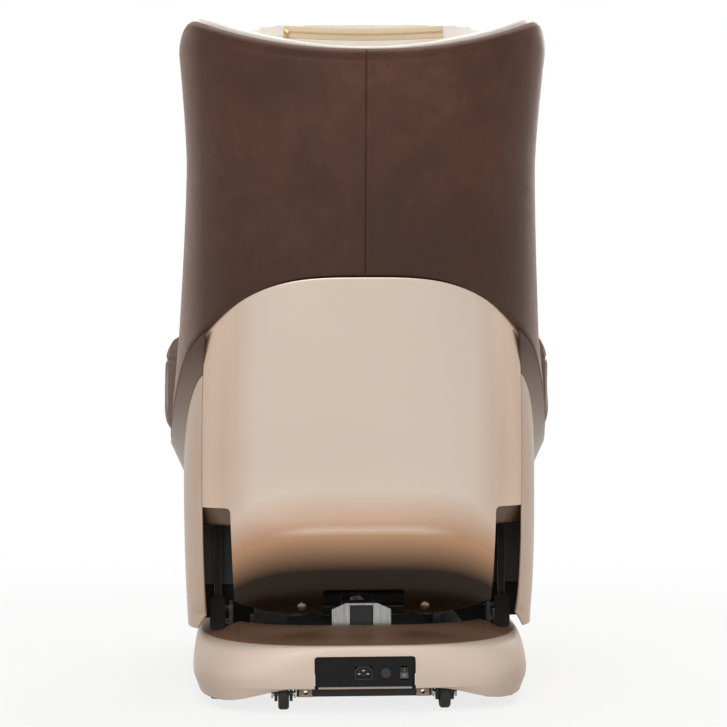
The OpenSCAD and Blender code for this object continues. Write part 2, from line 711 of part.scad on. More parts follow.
// ---- Massage carriage ----
roller_x = 62;
roller_reach = 34;
roller_span = 92;
arm_t = 6;
block_half = roller_x - roller_w / 2 - arm_t - 2;
module massage_carriage() {
    half = rail_track / 2 + rail_r + 8;
    color([0.30, 0.31, 0.33]) on_back(carriage_z, rail_off) difference() {
        union() {
            translate([-half, -14, 0]) cube([2 * half, 28 - 6, carriage_h]);
            translate([-block_half, -26, 18]) cube([2 * block_half, 14, carriage_h - 36]);
        }
        for (side = [-1, 1]) translate([side * rail_track / 2, 0, -1])
            cylinder(r = rail_r + run_fit, h = carriage_h + 2);
        both_sides() for (level = [-1, 1])
            translate([roller_x - roller_w / 2 - 2, -40, carriage_h / 2 + level * roller_span / 2 - roller_d / 2 - 2])
                cube([roller_w + 4, 60, roller_d + 4]);
    }
}
roller_pin_d = 10;
module roller_arms() {
    inner = roller_x - roller_w / 2 - pass_gap;
    color(BLACK) on_back(carriage_z, rail_off) both_sides() {
        plate_x(inner - arm_t, inner) hull() {
            for (level = [-1, 1]) eye([-roller_reach, carriage_h / 2 + level * roller_span / 2], 22);
            translate([-20, carriage_h / 2 - 20]) square([5.6, 40]);
        }
        for (level = [-1, 1]) translate([0, -roller_reach, carriage_h / 2 + level * roller_span / 2])
            rod_x(roller_pin_d, inner - arm_t, roller_x + roller_w / 2 + 4);
    }
}
module roller(side, level) {
    color([0.78, 0.72, 0.62]) on_back(carriage_z, rail_off)
        translate([side * roller_x, -roller_reach, carriage_h / 2 + level * roller_span / 2])
            rotate([0, 90, 0]) rotate_extrude() difference() {
                translate([0, -roller_w / 2]) hull() {
                    translate([0, 3]) square([roller_d / 2, roller_w - 6]);
                    square([roller_d / 2 - 5, roller_w]);
                }
                translate([0, -roller_w]) square([roller_pin_d / 2 + run_fit, 2 * roller_w]);
            }
}
module roller_upper_left() {
    roller(1, 1);
}
module roller_upper_right() {
    roller(-1, 1);
}
module roller_lower_left() {
    roller(1, -1);
}
module roller_lower_right() {
    roller(-1, -1);
}

// ---- Outer skins ----
cover_cols = 24;
cover_rows = 20;
// The lower edge rises towards the sides, clear of the base's deck as the chair reclines
cover_sweep = 75;
function cover_base(phi) = cover_low + cover_sweep * pow(sin(phi), 2);
function cover_top(phi) = shell_low(phi) - cover_gap;
module rear_cover() {
    edge = side_start - 0.55;
    grid = function (inset) [for (i = [0 : cover_rows]) [for (j = [0 : cover_cols])
        let (phi = edge * (2 * j / cover_cols - 1), z = mix(cover_base(phi), cover_top(phi), pow(i / cover_rows, 1.3)))
        panel_point(phi, z, inset)]];
    color(CHAMPAGNE) difference() {
        skin(grid(cover_t), grid(0));
        translate([0, 0, notch_top]) rotate([-90, 0, 0]) translate([0, 0, 200]) linear_extrude(300)
            polygon([[-notch_w / 2, 100], [-notch_w / 2, 8], [-notch_w / 2 + 8, 0], [notch_w / 2 - 8, 0], [notch_w / 2, 8], [notch_w / 2, 100]]);
        both_sides() translate([0, 200, 0]) rotate([90, 0, 0]) mirror([0, 0, 1]) linear_extrude(300) cutout_outline();
        at_screws() translate([0, 0, -20]) cylinder(d = screw_d + 0.4, h = 40);
    }
}
cutout_in = 211;
cutout_foot = 203;
module cutout_outline() {
    polygon([[cutout_foot, 100], [cutout_in, cutout_top - 12], [cutout_in + 4, cutout_top - 4], [cutout_in + 12, cutout_top],
        [300, cutout_top], [300, 100]]);
}
screw_x = 98;
screw_z = 163;
screw_d = 5;
// Puts children on the two screw places, with their Z out of the cover
module at_screws() {
    y = panel_point(asin(pow(screw_x / panel_half(screw_z), 1.5)), screw_z, 0)[1];
    both_sides() translate([screw_x, y, screw_z]) rotate([-128, 0, 0]) children();
}
module cover_screws() {
    color(STEEL) at_screws() {
        translate([0, 0, 1.6]) rotate_extrude() polygon([[0, 0], [8, 0], [7.4, 2], [4, 3.8], [0, 4.4]]);
        translate([0, 0, -14]) cylinder(d = screw_d, h = 16);
    }
}
shell_cols = 40;
shell_rows = 14;
module back_shell() {
    grid = function (inset) [for (i = [0 : shell_rows]) [for (j = [0 : shell_cols])
        let (phi = 90 * (2 * j / shell_cols - 1), z = mix(shell_low(phi), shell_high(phi), i / shell_rows))
        shell_point(phi, z, inset)]];
    color(LEATHER) skin(grid(shell_t), grid(0));
}

// Side panel from its rear edge round the corner and forward along the body
panel_bends = 9;
panel_runs = 6;
panel_front = arm_front - 16;
panel_rows = 12;
flange_low = 155;
panel_tip = 124;
function panel_low_edge(k) = k <= 3 ? mix(flange_low, panel_tip, k / 3)
    : k <= panel_bends ? panel_tip : mix(panel_tip, 214, ease((k - panel_bends) / panel_runs));
function panel_column(k, z, inset) = k <= panel_bends ? panel_point(mix(side_start, 90, k / panel_bends), z, inset)
    : [panel_half(z) - inset, mix(wing_front, -panel_front, (k - panel_bends) / panel_runs), z];
function panel_top_edge(k) = k < panel_bends ? panel_high(mix(side_start, 90, k / panel_bends)) : arm_low - 50;
module side_panel() {
    grid = function (inset) [for (i = [0 : panel_rows]) [for (k = [0 : panel_bends + panel_runs])
        panel_column(k, mix(panel_low_edge(k), panel_top_edge(k), i / panel_rows), inset)]];
    skin(grid(cover_t), grid(0));
}
module side_panel_left() {
    color(CHAMPAGNE) side_panel();
}
module side_panel_right() {
    color(CHAMPAGNE) mirror([1, 0, 0]) side_panel();
}

// Trim that fills the slanted shoulder between the back shell or armrest and the side panel
trim_rows = 4;
function trim_column(k, t, inset) = let (
        phi = mix(side_start, 90, min(1, k / panel_bends)),
        up = shell_low(phi) - cover_gap,
        low = panel_top_edge(k) + 0.6,
        a = k <= panel_bends ? shell_point(phi, up, inset + 1) : [shell_half(arm_low + 3) - inset - 1, panel_column(k, 0, 0)[1], arm_low - cover_gap + 3],
        b = panel_column(k, low, inset + 0.6))
    mix(b, a, t);
module side_trim() {
    grid = function (inset) [for (i = [0 : trim_rows]) [for (k = [0 : panel_bends + panel_runs])
        trim_column(k, i / trim_rows, inset)]];
    skin(grid(cover_t), grid(0));
}
module side_trim_left() {
    color(BRONZE) side_trim();
}
module side_trim_right() {
    color(BRONZE) mirror([1, 0, 0]) side_trim();
}

// ---- Armrests ----
arm_in = 214;
arm_out = body_w / 2 + arm_overhang;
arm_stations = 16;
// Section of an armrest: centre x, half width, low and high edges; the front end rounds down
function arm_ring(y) = let (
        t = clamp01((y + arm_front) / 120),
        nose = sqrt(max(0.02, 1 - pow(1 - t, 2.4))),
        high = mix(arm_high - 96, arm_high + 2, nose) - 14 * clamp01((wing_front - y) / 500),
        low = arm_low + 4,
        out = arm_out - 3 + 3 * nose,
        mid = (arm_in + out) / 2,
        half = (out - arm_in) / 2)
    [for (a = [0 : 15 : 345]) let (c = spow(cos(a), 0.5), s = spow(sin(a), 0.42))
        [mid + half * c - (s > 0 && c > 0 ? 4 * s * c : 0), y, (low + high) / 2 + (high - low) / 2 * s
            + (s < 0 && c > 0 ? -2.4 * c * s : 0)]];
module arm_pad() {
    stations = [for (k = [0 : arm_stations]) mix(-arm_front, wing_front - pass_gap, pow(k / arm_stations, 1.6))];
    loft([for (y = stations) arm_ring(y)]);
}
module arm_pad_left() {
    color(LEATHER) arm_pad();
}
module arm_pad_right() {
    color(LEATHER) mirror([1, 0, 0]) arm_pad();
}
// Moulded blocks that carry the armrests beside the seat
module arm_cores() {
    x1 = body_w / 2 - cover_t - 5;
    z0 = tub_top + 0.4;
    z1 = arm_low + 3.6;
    r = 26;
    color(LEATHER) both_sides() plate_x(arm_in, x1) difference() {
        translate([-arm_front + 14, z0]) square([arm_front + wing_front - 22, z1 - z0]);
        translate([-arm_front + 14, z0]) difference() {
            translate([-1, -1]) square(r + 1);
            translate([r, r]) circle(r);
        }
    }
}
liner_t = 20;
module arm_liner() {
    x0 = arm_in - 0.4;
    y_mid = (wing_front - arm_front) / 2 - 8;
    half_y = (wing_front + arm_front) / 2 - 30;
    color(CREAM) cushion(
        function (u, v, h) [x0 - h, y_mid + u * half_y * (1 - 0.02 * (1 - v * v)), seat_h + 66 + v * 62 * (1 - 0.03 * (1 - u * u))],
        function (u, v) 0,
        function (u, v) 4 + (liner_t - 9) * crown(u, v) - 4 * groove(u, 0, 0.05) * crown(u, v), 10, 8);
}
module arm_liners() {
    both_sides() arm_liner();
}

// ---- Cushions ----
pad_half = 209;
seat_back_y = 232;
channel_d = 9;
function channels(u, n, width) = max([for (k = [1 : n - 1]) groove(u, 2 * k / n - 1, width)]);
module seat_cushion() {
    mid_y = (seat_back_y - seat_front) / 2;
    half_y = (seat_back_y + seat_front) / 2;
    low = seat_h - seat_t;
    color(CREAM) cushion(
        function (u, v, h) [u * (seat_w / 2 - 5) * (1 - 0.02 * (1 - v * v)), mid_y + v * half_y * (1 - 0.02 * (1 - u * u)),
            low + h - (v < -0.4 ? 20 * pow((-v - 0.4) / 0.6, 2) : 0)],
        function (u, v) 44 + (seat_t - 50) * crown(u, v) - channel_d * channels(v, 4, 0.035) * crown(u, v),
        function (u, v) (v < -0.4 ? 20 * pow((-v - 0.4) / 0.6, 2) : 0) + 6 * (1 - crown(u, v)), 12, 20);
}
// Front face of the back pad at height z, and its thickness to the mechanism behind
function pad_front(z) = 215 + 195 * pow((z - 440) / 610, 1.08);
function pad_rear(z) = rear_line(z) - rail_off - roller_reach - roller_d / 2 - 6;
// Inside face of the back shell at (x, z)
function shell_inside(x, z) = rear_line(z) - shell_t - (rear_line(z) - wing_line(z))
    * (1 - pow(1 - pow(min(0.99, abs(x) / (shell_half(z) - shell_t)), corner_n), 1 / corner_n));
// Rear face of the back pad: clear of the mechanism, then over the top of the frame to the shell
pad_fold = 988;
function pad_behind(x, z) = mix(pad_rear(z), shell_inside(x, z) - 3, clamp01((z - pad_fold) / 26));
pad_low = seat_h + 4;
pad_high = 1053;
pad_mid = (pad_high + pad_low) / 2;
pad_rise = (pad_high - pad_low) / 2;
pad_edge = 14;
// Front face of the back pad over the pad's own u and v, without its channels
function pad_face(u, v) = let (z = pad_mid + v * pad_rise, rear = pad_behind(u * pad_half, z))
    rear - pad_edge - (rear - pad_front(z) - pad_edge) * crown(u, v);
module back_pad() {
    color(CREAM) cushion(
        function (u, v, h) [u * pad_half * (1 - 0.03 * (1 - v * v)), h, pad_mid + v * pad_rise],
        function (u, v) pad_face(u, v) + channel_d * channels(u, 4, 0.04) * crown(u, v),
        function (u, v) pad_behind(u * pad_half, pad_mid + v * pad_rise) - 2 + 2 * crown(u, v), 16, 20);
}
pillow_half = 150;
pillow_t = 52;
pillow_mid = back_h - 151;
pillow_rise = 88;
// Headrest pillow lying against the front of the back pad
module head_pillow() {
    rest = function (u, v) pad_face(u * pillow_half / pad_half, (pillow_mid + v * pillow_rise - pad_mid) / pad_rise);
    color(CREAM) cushion(
        function (u, v, h) [u * pillow_half * (1 - 0.04 * (1 - v * v)), h, pillow_mid + v * pillow_rise],
        function (u, v) rest(u, v) - pad_edge - (pillow_t - pad_edge - 6 * groove(v, 0, 0.05)) * crown(u, v),
        function (u, v) rest(u, v) - 4, 12, 10);
}
// Lining of the wings: follows the inside of the back shell from the pad's edge to the wing's
wing_low = arm_high + 6;
wing_high = back_h - 57;
module wing_pads() {
    mid = (wing_low + wing_high) / 2;
    rise = (wing_high - wing_low) / 2;
    color(CREAM) both_sides() cushion(
        function (u, v, h) shell_point(69 + 17 * u, mid + v * rise, shell_t + h),
        function (u, v) 7 + 19 * crown(u, v),
        function (u, v) 2, 10, 14);
}

// ---- Leg rest ----
leg_y = -seat_front - 24;
leg_z = 346;
leg_low = 176;
leg_depth = 118;
leg_top = leg_z + 18;
leg_back = leg_y - 8;
leg_face = leg_y - leg_depth;
leg_ear_x = leg_w / 2 - 40;
leg_ear_t = 11;
leg_eye_d = 32;
calf_r = calf_w / 2;
calf_x = leg_w / 4 - 2;
calf_y = leg_face + 6;
calf_pad_t = 16;
foot_low = 44;
foot_face = -rear_line(back_h - rim_dip);
foot_sole = foot_low + 26;
foot_top = leg_low - 8;
heel_r = 54;
heel_y = calf_y - 4;
foot_rod_x = leg_w / 2 - 18;
foot_rod_y = leg_y - 44;
foot_grip = 44;
foot_rod_top = leg_low + foot_travel + foot_grip;

module leg_outline() {
    hull() {
        eye([leg_back - 12, leg_top - 12], 24);
        eye([leg_face + 34, leg_top - 34], 68);
        eye([leg_face + 18, leg_low + 18], 36);
        eye([leg_back - 12, leg_low + 12], 24);
    }
}
module legrest_shell() {
    color(CHAMPAGNE) difference() {
        union() {
            plate_x(-leg_w / 2, leg_w / 2) leg_outline();
            both_sides() plate_x(leg_ear_x, leg_ear_x + leg_ear_t) {
                eye([leg_y, leg_z], leg_eye_d - 2);
                translate([leg_back - 20, leg_z - leg_eye_d / 2 + 1]) square([leg_y - leg_back + 20, leg_eye_d - 2]);
            }
        }
        both_sides() {
            translate([calf_x, calf_y, leg_low - 1]) cylinder(r = calf_r + 6, h = leg_top);
            translate([foot_rod_x, foot_rod_y, leg_low - 1]) cylinder(d = foot_rod_d + 2 * run_fit, h = foot_rod_top - leg_low + 3);
            translate([0, leg_y, leg_z]) {
                rod_x(leg_pin_d + 2 * run_fit, leg_ear_x - 1, leg_ear_x + leg_ear_t + 1);
                rod_x(leg_eye_d + 2 * pass_gap, leg_ear_x - 8, leg_ear_x);
                rod_x(leg_eye_d + 2 * pass_gap, leg_ear_x + leg_ear_t, leg_ear_x + 2 * leg_ear_t + pass_gap + 5);
            }
        }
    }
}
// Pad that lines an upright half-round channel of radius r
module channel_pad(at, r, z0, z1, t, nu, nv) {
    mid = (z0 + z1) / 2;
    half = (z1 - z0) / 2;
    cushion(
        function (u, v, h) [at[0] + (r - h) * sin(82 * u), at[1] + (r - h) * cos(82 * u), mid + v * half],
        function (u, v) 5 + (t - 5) * crown(u, v),
        function (u, v) 0.5, nu, nv);
}
module calf_pad() {
    color(CREAM) both_sides()
        channel_pad([calf_x, calf_y], calf_r + 6, leg_low + 5, leg_top - 22, calf_pad_t, 12, 8);
}
module foot_outline() {
    hull() {
        eye([leg_back - 16, foot_top - 16], 32);
        eye([foot_face + 40, foot_low + 52], 44);
        eye([foot_face + 18, foot_low + 18], 36);
        eye([leg_back - 16, foot_low + 16], 32);
    }
}
module foot_shell() {
    color(CHAMPAGNE) {
        difference() {
            plate_x(-leg_w / 2, leg_w / 2) foot_outline();
            both_sides() {
                translate([calf_x, heel_y, foot_sole]) cylinder(r = heel_r + 6, h = 200);
                translate([calf_x - heel_r - 6, foot_face + 14, foot_sole]) cube([2 * heel_r + 12, heel_y - foot_face - 14, 200]);
            }
        }
        both_sides() translate([foot_rod_x, foot_rod_y, foot_top - 12]) cylinder(d = foot_rod_d, h = foot_rod_top - foot_top + 12);
    }
}
module foot_pad() {
    sole_y = (heel_y + foot_face + 20) / 2;
    color(CREAM) both_sides() {
        channel_pad([calf_x, heel_y], heel_r + 6, foot_sole + 14, foot_top - 6, 13, 10, 6);
        cushion(
            function (u, v, h) [calf_x + u * (heel_r - 10), sole_y + v * (heel_y - foot_face - 30) / 2, foot_sole + h],
            function (u, v) 5 + 7 * crown(u, v),
            function (u, v) 0.4, 6, 8);
    }
}

base_shell();
base_rails();
base_crossbars();
slide_rails();
front_feet();
corner_pads();
frame_tabs();
caster_forks();
caster_axles();
caster_wheel_left();
caster_wheel_right();
power_panel();
panel_sill();
mains_inlet();
inlet_pins();
fuse_holder();
switch_bezel();
power_switch();
power_supply();
drive_bracket();
drive_motor();
drive_tube();
drive_rod();
link_brackets();
link_left();
link_right();
slide_frame();
glide_blocks();
tilt_pins();
seat_tub();
tub_pins();
chassis_plates();
back_frame();
massage_rails();
rear_cover();
cover_screws();
back_shell();
side_panel_left();
side_panel_right();
side_trim_left();
side_trim_right();
arm_pad_left();
arm_pad_right();
arm_cores();
arm_liners();
seat_cushion();
back_pad();
head_pillow();
wing_pads();
massage_carriage();
roller_arms();
roller_upper_left();
roller_upper_right();
roller_lower_left();
roller_lower_right();
legrest_shell();
calf_pad();
foot_shell();
foot_pad();
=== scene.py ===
import math

import bmesh
import bpy
import numpy as np
from mathutils import Matrix, Vector
from mathutils.bvhtree import BVHTree


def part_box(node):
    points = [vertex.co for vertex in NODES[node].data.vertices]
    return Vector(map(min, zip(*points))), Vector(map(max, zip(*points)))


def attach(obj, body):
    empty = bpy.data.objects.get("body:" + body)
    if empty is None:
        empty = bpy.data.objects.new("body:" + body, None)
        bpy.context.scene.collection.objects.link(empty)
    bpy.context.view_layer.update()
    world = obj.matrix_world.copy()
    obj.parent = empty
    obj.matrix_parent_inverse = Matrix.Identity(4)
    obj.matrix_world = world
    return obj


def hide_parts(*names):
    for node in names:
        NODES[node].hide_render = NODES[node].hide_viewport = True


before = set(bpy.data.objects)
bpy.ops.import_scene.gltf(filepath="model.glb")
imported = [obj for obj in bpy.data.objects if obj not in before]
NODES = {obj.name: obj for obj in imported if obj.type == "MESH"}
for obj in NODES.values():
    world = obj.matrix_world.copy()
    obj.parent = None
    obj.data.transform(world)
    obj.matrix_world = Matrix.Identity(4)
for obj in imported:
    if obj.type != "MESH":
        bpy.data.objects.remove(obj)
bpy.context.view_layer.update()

MM = 0.001
ROOM_TINT, ROOM_GLOW = (0.98, 0.97, 0.96, 1.0), 0.36
FLOOR_HALF, FLOOR_Z = 9, -0.0004


# ------------------------------------------------------------------ camera, room and light
def aimed(thing, place, target, roll=0.0):
    """Puts a camera or lamp at place, looking at target."""
    thing.location = place
    turn = (Vector(target) - Vector(place)).to_track_quat("-Z", "Y")
    thing.rotation_euler = (turn.to_matrix() @ Matrix.Rotation(math.radians(roll), 3, "Z")).to_euler()
    return thing


def set_up_camera():
    """Long lens, level, almost square on to the rear of the chair."""
    camera = bpy.data.objects.new("camera", bpy.data.cameras.new("camera"))
    camera.data.lens = 110.38
    camera.data.sensor_width = 36.0
    bpy.context.scene.collection.objects.link(camera)
    aimed(camera, (0.1527, 3.9167, 0.548), (0.1527 - 0.0436, 3.9167 - 0.99905, 0.548), -0.3)
    bpy.context.scene.camera = camera
    bpy.context.scene.view_settings.view_transform = "Standard"


def soft_box(name, place, target, width, height, power, tint=(1.0, 1.0, 1.0)):
    lamp = bpy.data.lights.new(name, "AREA")
    lamp.shape = "RECTANGLE"
    lamp.size = width
    lamp.size_y = height
    lamp.energy = power
    lamp.color = tint
    box = bpy.data.objects.new(name, lamp)
    bpy.context.scene.collection.objects.link(box)
    return aimed(box, place, target)


def set_up_light():
    """Broad overhead box, a wide fill from the rear and a tall strip on each side."""
    soft_box("overhead_box", (0.0, 0.3, 3.2), (0.0, 0.1, 0.5), 2.6, 2.2, 60)
    soft_box("rear_fill", (0.9, 4.6, 2.3), (0.0, 0.2, 0.6), 3.4, 2.2, 90)
    soft_box("strip_left", (2.3, 0.35, 1.0), (0.0, 0.45, 0.75), 1.2, 2.4, 2.4)
    soft_box("strip_right", (-2.3, 0.35, 1.0), (0.0, 0.45, 0.75), 1.2, 2.4, 2.4)
    soft_box("front_fill", (-1.6, -3.6, 2.2), (0.0, 0.0, 0.6), 2.8, 2.0, 60)


def set_up_room():
    """Pale floor that keeps the shadow, white all round it."""
    world = bpy.data.worlds.new("studio")
    world.use_nodes = True
    bpy.context.scene.world = world
    world.node_tree.nodes.clear()
    b = Bench(world.node_tree)
    path = b.add("LightPath").outputs
    seen = b.calc("MAXIMUM", path["Is Camera Ray"], path["Is Glossy Ray"])
    seen = b.calc("MAXIMUM", seen, path["Is Transmission Ray"])
    room = b.add("Background", {"Color": ROOM_TINT, "Strength": ROOM_GLOW}).outputs[0]
    white = b.add("Background", {"Color": (1.0, 1.0, 1.0, 1.0), "Strength": 1.0}).outputs[0]
    b.add("OutputWorld", {"Surface": b.add("MixShader", {0: seen, 1: room, 2: white}).outputs[0]})

    mesh = bpy.data.meshes.new("studio_floor")
    corners = [(-1, -1), (1, -1), (1, 1), (-1, 1)]
    mesh.from_pydata([(x * FLOOR_HALF, y * FLOOR_HALF, FLOOR_Z) for x, y in corners], [], [(0, 1, 2, 3)])
    floor = bpy.data.objects.new("studio_floor", mesh)
    bpy.context.scene.collection.objects.link(floor)
    skin = bpy.data.materials.new("studio_floor")
    skin.use_nodes = True
    skin.node_tree.nodes.clear()
    b = Bench(skin.node_tree)
    path = b.add("LightPath").outputs
    place = b.add("NewGeometry").outputs["Position"]
    far = b.add("VectorMath", {0: place}, operation="LENGTH").outputs["Value"]
    fade = b.add("MapRange", {"Value": far, "From Min": 0.5, "From Max": 2.6, "To Min": 0.80, "To Max": 1.0},
                 interpolation_type="SMOOTHSTEP").outputs["Result"]
    seen = b.calc("MAXIMUM", path["Is Camera Ray"], path["Is Transmission Ray"])
    seen = b.calc("MAXIMUM", seen, b.times(path["Is Glossy Ray"], 0.6))
    share = b.times(seen, fade)
    matt = b.add("BsdfDiffuse", {"Color": (0.74, 0.73, 0.72, 1.0)}).outputs[0]
    glow = b.add("Emission", {"Strength": 1.0}).outputs[0]
    b.add("OutputMaterial", {"Surface": b.add("MixShader", {0: share, 1: matt, 2: glow}).outputs[0]})
    mesh.materials.append(skin)


# ------------------------------------------------------------------ shared finish effects
FLOAT, COLOR, VECTOR = "NodeSocketFloat", "NodeSocketColor", "NodeSocketVector"


class Bench:
    """A node tree being wired: each call adds one node and joins or sets its inputs."""

    def __init__(self, tree):
        self.tree = tree

    def add(self, kind, inputs=None, **settings):
        node = self.tree.nodes.new("ShaderNode" + kind)
        for key, value in settings.items():
            setattr(node, key, value)
        for key, value in (inputs or {}).items():
            self.join(node.inputs[key], value)
        return node

    def join(self, socket, value):
        if isinstance(value, bpy.types.NodeSocket):
            self.tree.links.new(value, socket)
        else:
            socket.default_value = value

    def effect(self, group, inputs):
        node = self.tree.nodes.new("ShaderNodeGroup")
        node.node_tree = group
        for key, value in inputs.items():
            self.join(node.inputs[key], value)
        return node.outputs

    def noise(self, vector, scale, detail=3.0, rough=0.5, distortion=0.0):
        return self.add("TexNoise", {"Vector": vector, "Scale": scale, "Detail": detail,
                                     "Roughness": rough, "Distortion": distortion}).outputs["Fac"]

    def ranged(self, value, low, high, to_low=0.0, to_high=1.0):
        return self.add("MapRange", {"Value": value, "From Min": low, "From Max": high,
                                     "To Min": to_low, "To Max": to_high}).outputs["Result"]

    def calc(self, operation, a, b=0.0, clamp=False):
        return self.add("Math", {0: a, 1: b}, operation=operation, use_clamp=clamp).outputs[0]

    def times(self, a, b, clamp=False):
        return self.calc("MULTIPLY", a, b, clamp)

    def size(self, a):
        return self.calc("ABSOLUTE", a)

    def parts(self, vector):
        return self.add("SeparateXYZ", {0: vector}).outputs

    def vector(self, operation, a, b, result="Vector"):
        return self.add("VectorMath", {0: a, 1: b}, operation=operation).outputs[result]

    def facing(self):
        return self.add("NewGeometry").outputs["Normal"]

    def blend(self, share, a, b, way="MIX"):
        node = self.add("Mix", data_type="RGBA", blend_type=way)
        self.join(node.inputs[0], share)
        self.join(node.inputs[6], a)
        self.join(node.inputs[7], b)
        return node.outputs[2]


def effect_group(name, inputs, outputs):
    """New shader node group with named sockets; returns the bench, its inputs and its end node."""
    tree = bpy.data.node_groups.new(name, "ShaderNodeTree")
    for title, kind, value in inputs:
        socket = tree.interface.new_socket(name=title, in_out="INPUT", socket_type=kind)
        if value is not None:
            socket.default_value = value
    for title, kind in outputs:
        tree.interface.new_socket(name=title, in_out="OUTPUT", socket_type=kind)
    start = tree.nodes.new("NodeGroupInput")
    end = tree.nodes.new("NodeGroupOutput")
    return tree, Bench(tree), start.outputs, end.inputs


def tone(code, alpha=1.0):
    """Linear colour from a #rrggbb code."""
    parts = [int(code[k:k + 2], 16) / 255 for k in (1, 3, 5)]
    return tuple(c / 12.92 if c <= 0.04045 else ((c + 0.055) / 1.055) ** 2.4 for c in parts) + (alpha,)


def make_hide_tone():
    tree, b, given, end = effect_group("hide_tone", [
        ("Vector", VECTOR, None), ("Tone", COLOR, None), ("Light", COLOR, None), ("Dark", COLOR, None),
        ("Blotch Scale", FLOAT, 9.0), ("Contrast", FLOAT, 1.0), ("Shade Below", FLOAT, 0.0), ("Rim Highlight", FLOAT, 0.0)],
        [("Color", COLOR), ("Roughness", FLOAT)])
    broad = b.noise(given["Vector"], given["Blotch Scale"], 5.0, 0.62, 0.5)
    fine_scale = b.times(given["Blotch Scale"], 6.3)
    fine = b.noise(given["Vector"], fine_scale, 4.0, 0.65)
    shade = b.times(b.ranged(broad, 0.56, 0.34), given["Contrast"])
    lift = b.times(b.ranged(b.times(broad, fine), 0.24, 0.42), given["Contrast"])
    dark = b.blend(shade, given["Tone"], given["Dark"])
    part = b.parts(given["Vector"])
    # Painted shade and painted highlight: the colour darkens lower down and turns a lighter warm brown near
    # the body's outer edges.
    fall = b.times(b.ranged(part["Z"], 0.98, 0.66), given["Shade Below"])
    rim = b.times(b.ranged(b.size(part["X"]), 0.250, 0.285), given["Rim Highlight"])
    dyed_and_shaded = b.blend(fall, b.blend(lift, dark, given["Light"]), given["Dark"])
    b.join(end["Color"], b.blend(rim, dyed_and_shaded, (0.24, 0.15, 0.11, 1.0)))
    b.join(end["Roughness"], b.ranged(fine, 0.3, 0.7, 0.40, 0.52))
    return tree


def make_hide_grain():
    tree, b, given, end = effect_group("hide_grain", [
        ("Vector", VECTOR, None), ("Pebble Scale", FLOAT, 900.0), ("Crease", FLOAT, 0.4)],
        [("Height", FLOAT)])
    wander = b.noise(given["Vector"], 60.0, 2.0)
    cells = b.add("TexVoronoi", {"Vector": given["Vector"], "Scale": given["Pebble Scale"], "Randomness": 0.9},
                  feature="DISTANCE_TO_EDGE").outputs["Distance"]
    pebble = b.ranged(cells, 0.0, 0.22)
    folds = b.ranged(b.noise(given["Vector"], 95.0, 5.0, 0.6, 1.2), 0.45, 0.52)
    crease = b.times(folds, given["Crease"])
    raised = b.calc("ADD", b.times(pebble, 0.6), b.times(wander, 0.35))
    b.join(end["Height"], b.calc("ADD", raised, crease))
    return tree


def make_edge_wear():
    tree, b, given, end = effect_group("edge_wear", [
        ("Vector", VECTOR, None), ("Width", FLOAT, 0.0015), ("Amount", FLOAT, 1.0)], [("Mask", FLOAT)])
    soft = b.add("Bevel", {"Radius": given["Width"]}, samples=4).outputs["Normal"]
    facing = b.vector("DOT_PRODUCT", soft, b.facing(), "Value")
    edge = b.ranged(facing, 0.985, 0.80)
    patchy = b.ranged(b.noise(given["Vector"], 130.0, 4.0, 0.7), 0.38, 0.62)
    b.join(end["Mask"], b.times(b.times(edge, patchy), given["Amount"], True))
    return tree


def make_settled_dust():
    tree, b, given, end = effect_group("settled_dust", [
        ("Vector", VECTOR, None), ("Amount", FLOAT, 0.3)], [("Mask", FLOAT)])
    up = b.parts(b.facing())["Z"]
    lying = b.ranged(up, 0.55, 1.0)
    patchy = b.ranged(b.noise(given["Vector"], 26.0, 6.0, 0.68), 0.32, 0.7)
    b.join(end["Mask"], b.times(b.times(lying, patchy), given["Amount"], True))
    return tree


def make_moulded_grain():
    tree, b, given, end = effect_group("moulded_grain", [
        ("Vector", VECTOR, None), ("Scale", FLOAT, 1400.0)], [("Height", FLOAT), ("Patch", FLOAT)])
    pits = b.add("TexVoronoi", {"Vector": given["Vector"], "Scale": given["Scale"]},
                 feature="SMOOTH_F1").outputs["Distance"]
    b.join(end["Height"], b.calc("ADD", pits, b.noise(given["Vector"], 300.0, 3.0)))
    b.join(end["Patch"], b.noise(given["Vector"], 14.0, 5.0, 0.6))
    return tree


def make_drawn_lines():
    tree, b, given, end = effect_group("drawn_lines", [
        ("Vector", VECTOR, None), ("Stretch", VECTOR, (1.0, 40.0, 40.0)), ("Scale", FLOAT, 40.0)],
        [("Height", FLOAT), ("Streak", FLOAT)])
    pulled = b.vector("MULTIPLY", given["Vector"], given["Stretch"])
    lines = b.noise(pulled, given["Scale"], 4.0, 0.7)
    b.join(end["Height"], lines)
    b.join(end["Streak"], lines)
    return tree


# Painted shade and painted reflection: the mask darkens a surface towards its bottom, bowed upward at the
# sides, and adds a painted reflection near its side edges; the second output marks a painted highlight band a
# little below where the darkening starts.
def make_lower_shade():
    tree, b, given, end = effect_group("lower_shade", [
        ("Vector", VECTOR, None), ("Top", FLOAT, 0.350), ("Bottom", FLOAT, 0.205), ("Bow", FLOAT, 19.0),
        ("Edge Reflection", FLOAT, 0.0)], [("Mask", FLOAT), ("Highlight Band", FLOAT)])
    part = b.parts(given["Vector"])
    bow = b.times(b.calc("POWER", b.size(part["X"]), 4.0), given["Bow"])
    height = b.calc("ADD", part["Z"], bow)
    outer = b.times(b.ranged(b.size(part["X"]), 0.170, 0.222), given["Edge Reflection"])
    b.join(end["Mask"], b.calc("MAXIMUM", b.ranged(height, given["Top"], given["Bottom"]), outer))
    rise = b.calc("SUBTRACT", height, b.calc("SUBTRACT", given["Top"], 0.0635))
    near = b.calc("SUBTRACT", 1.0, b.calc("DIVIDE", b.size(rise), 0.009), True)
    b.join(end["Highlight Band"], b.times(near, b.ranged(b.size(part["X"]), 0.15, 0.09)))
    return tree


BASE_MIDDLE = (0.0, 0.05, 0.07)
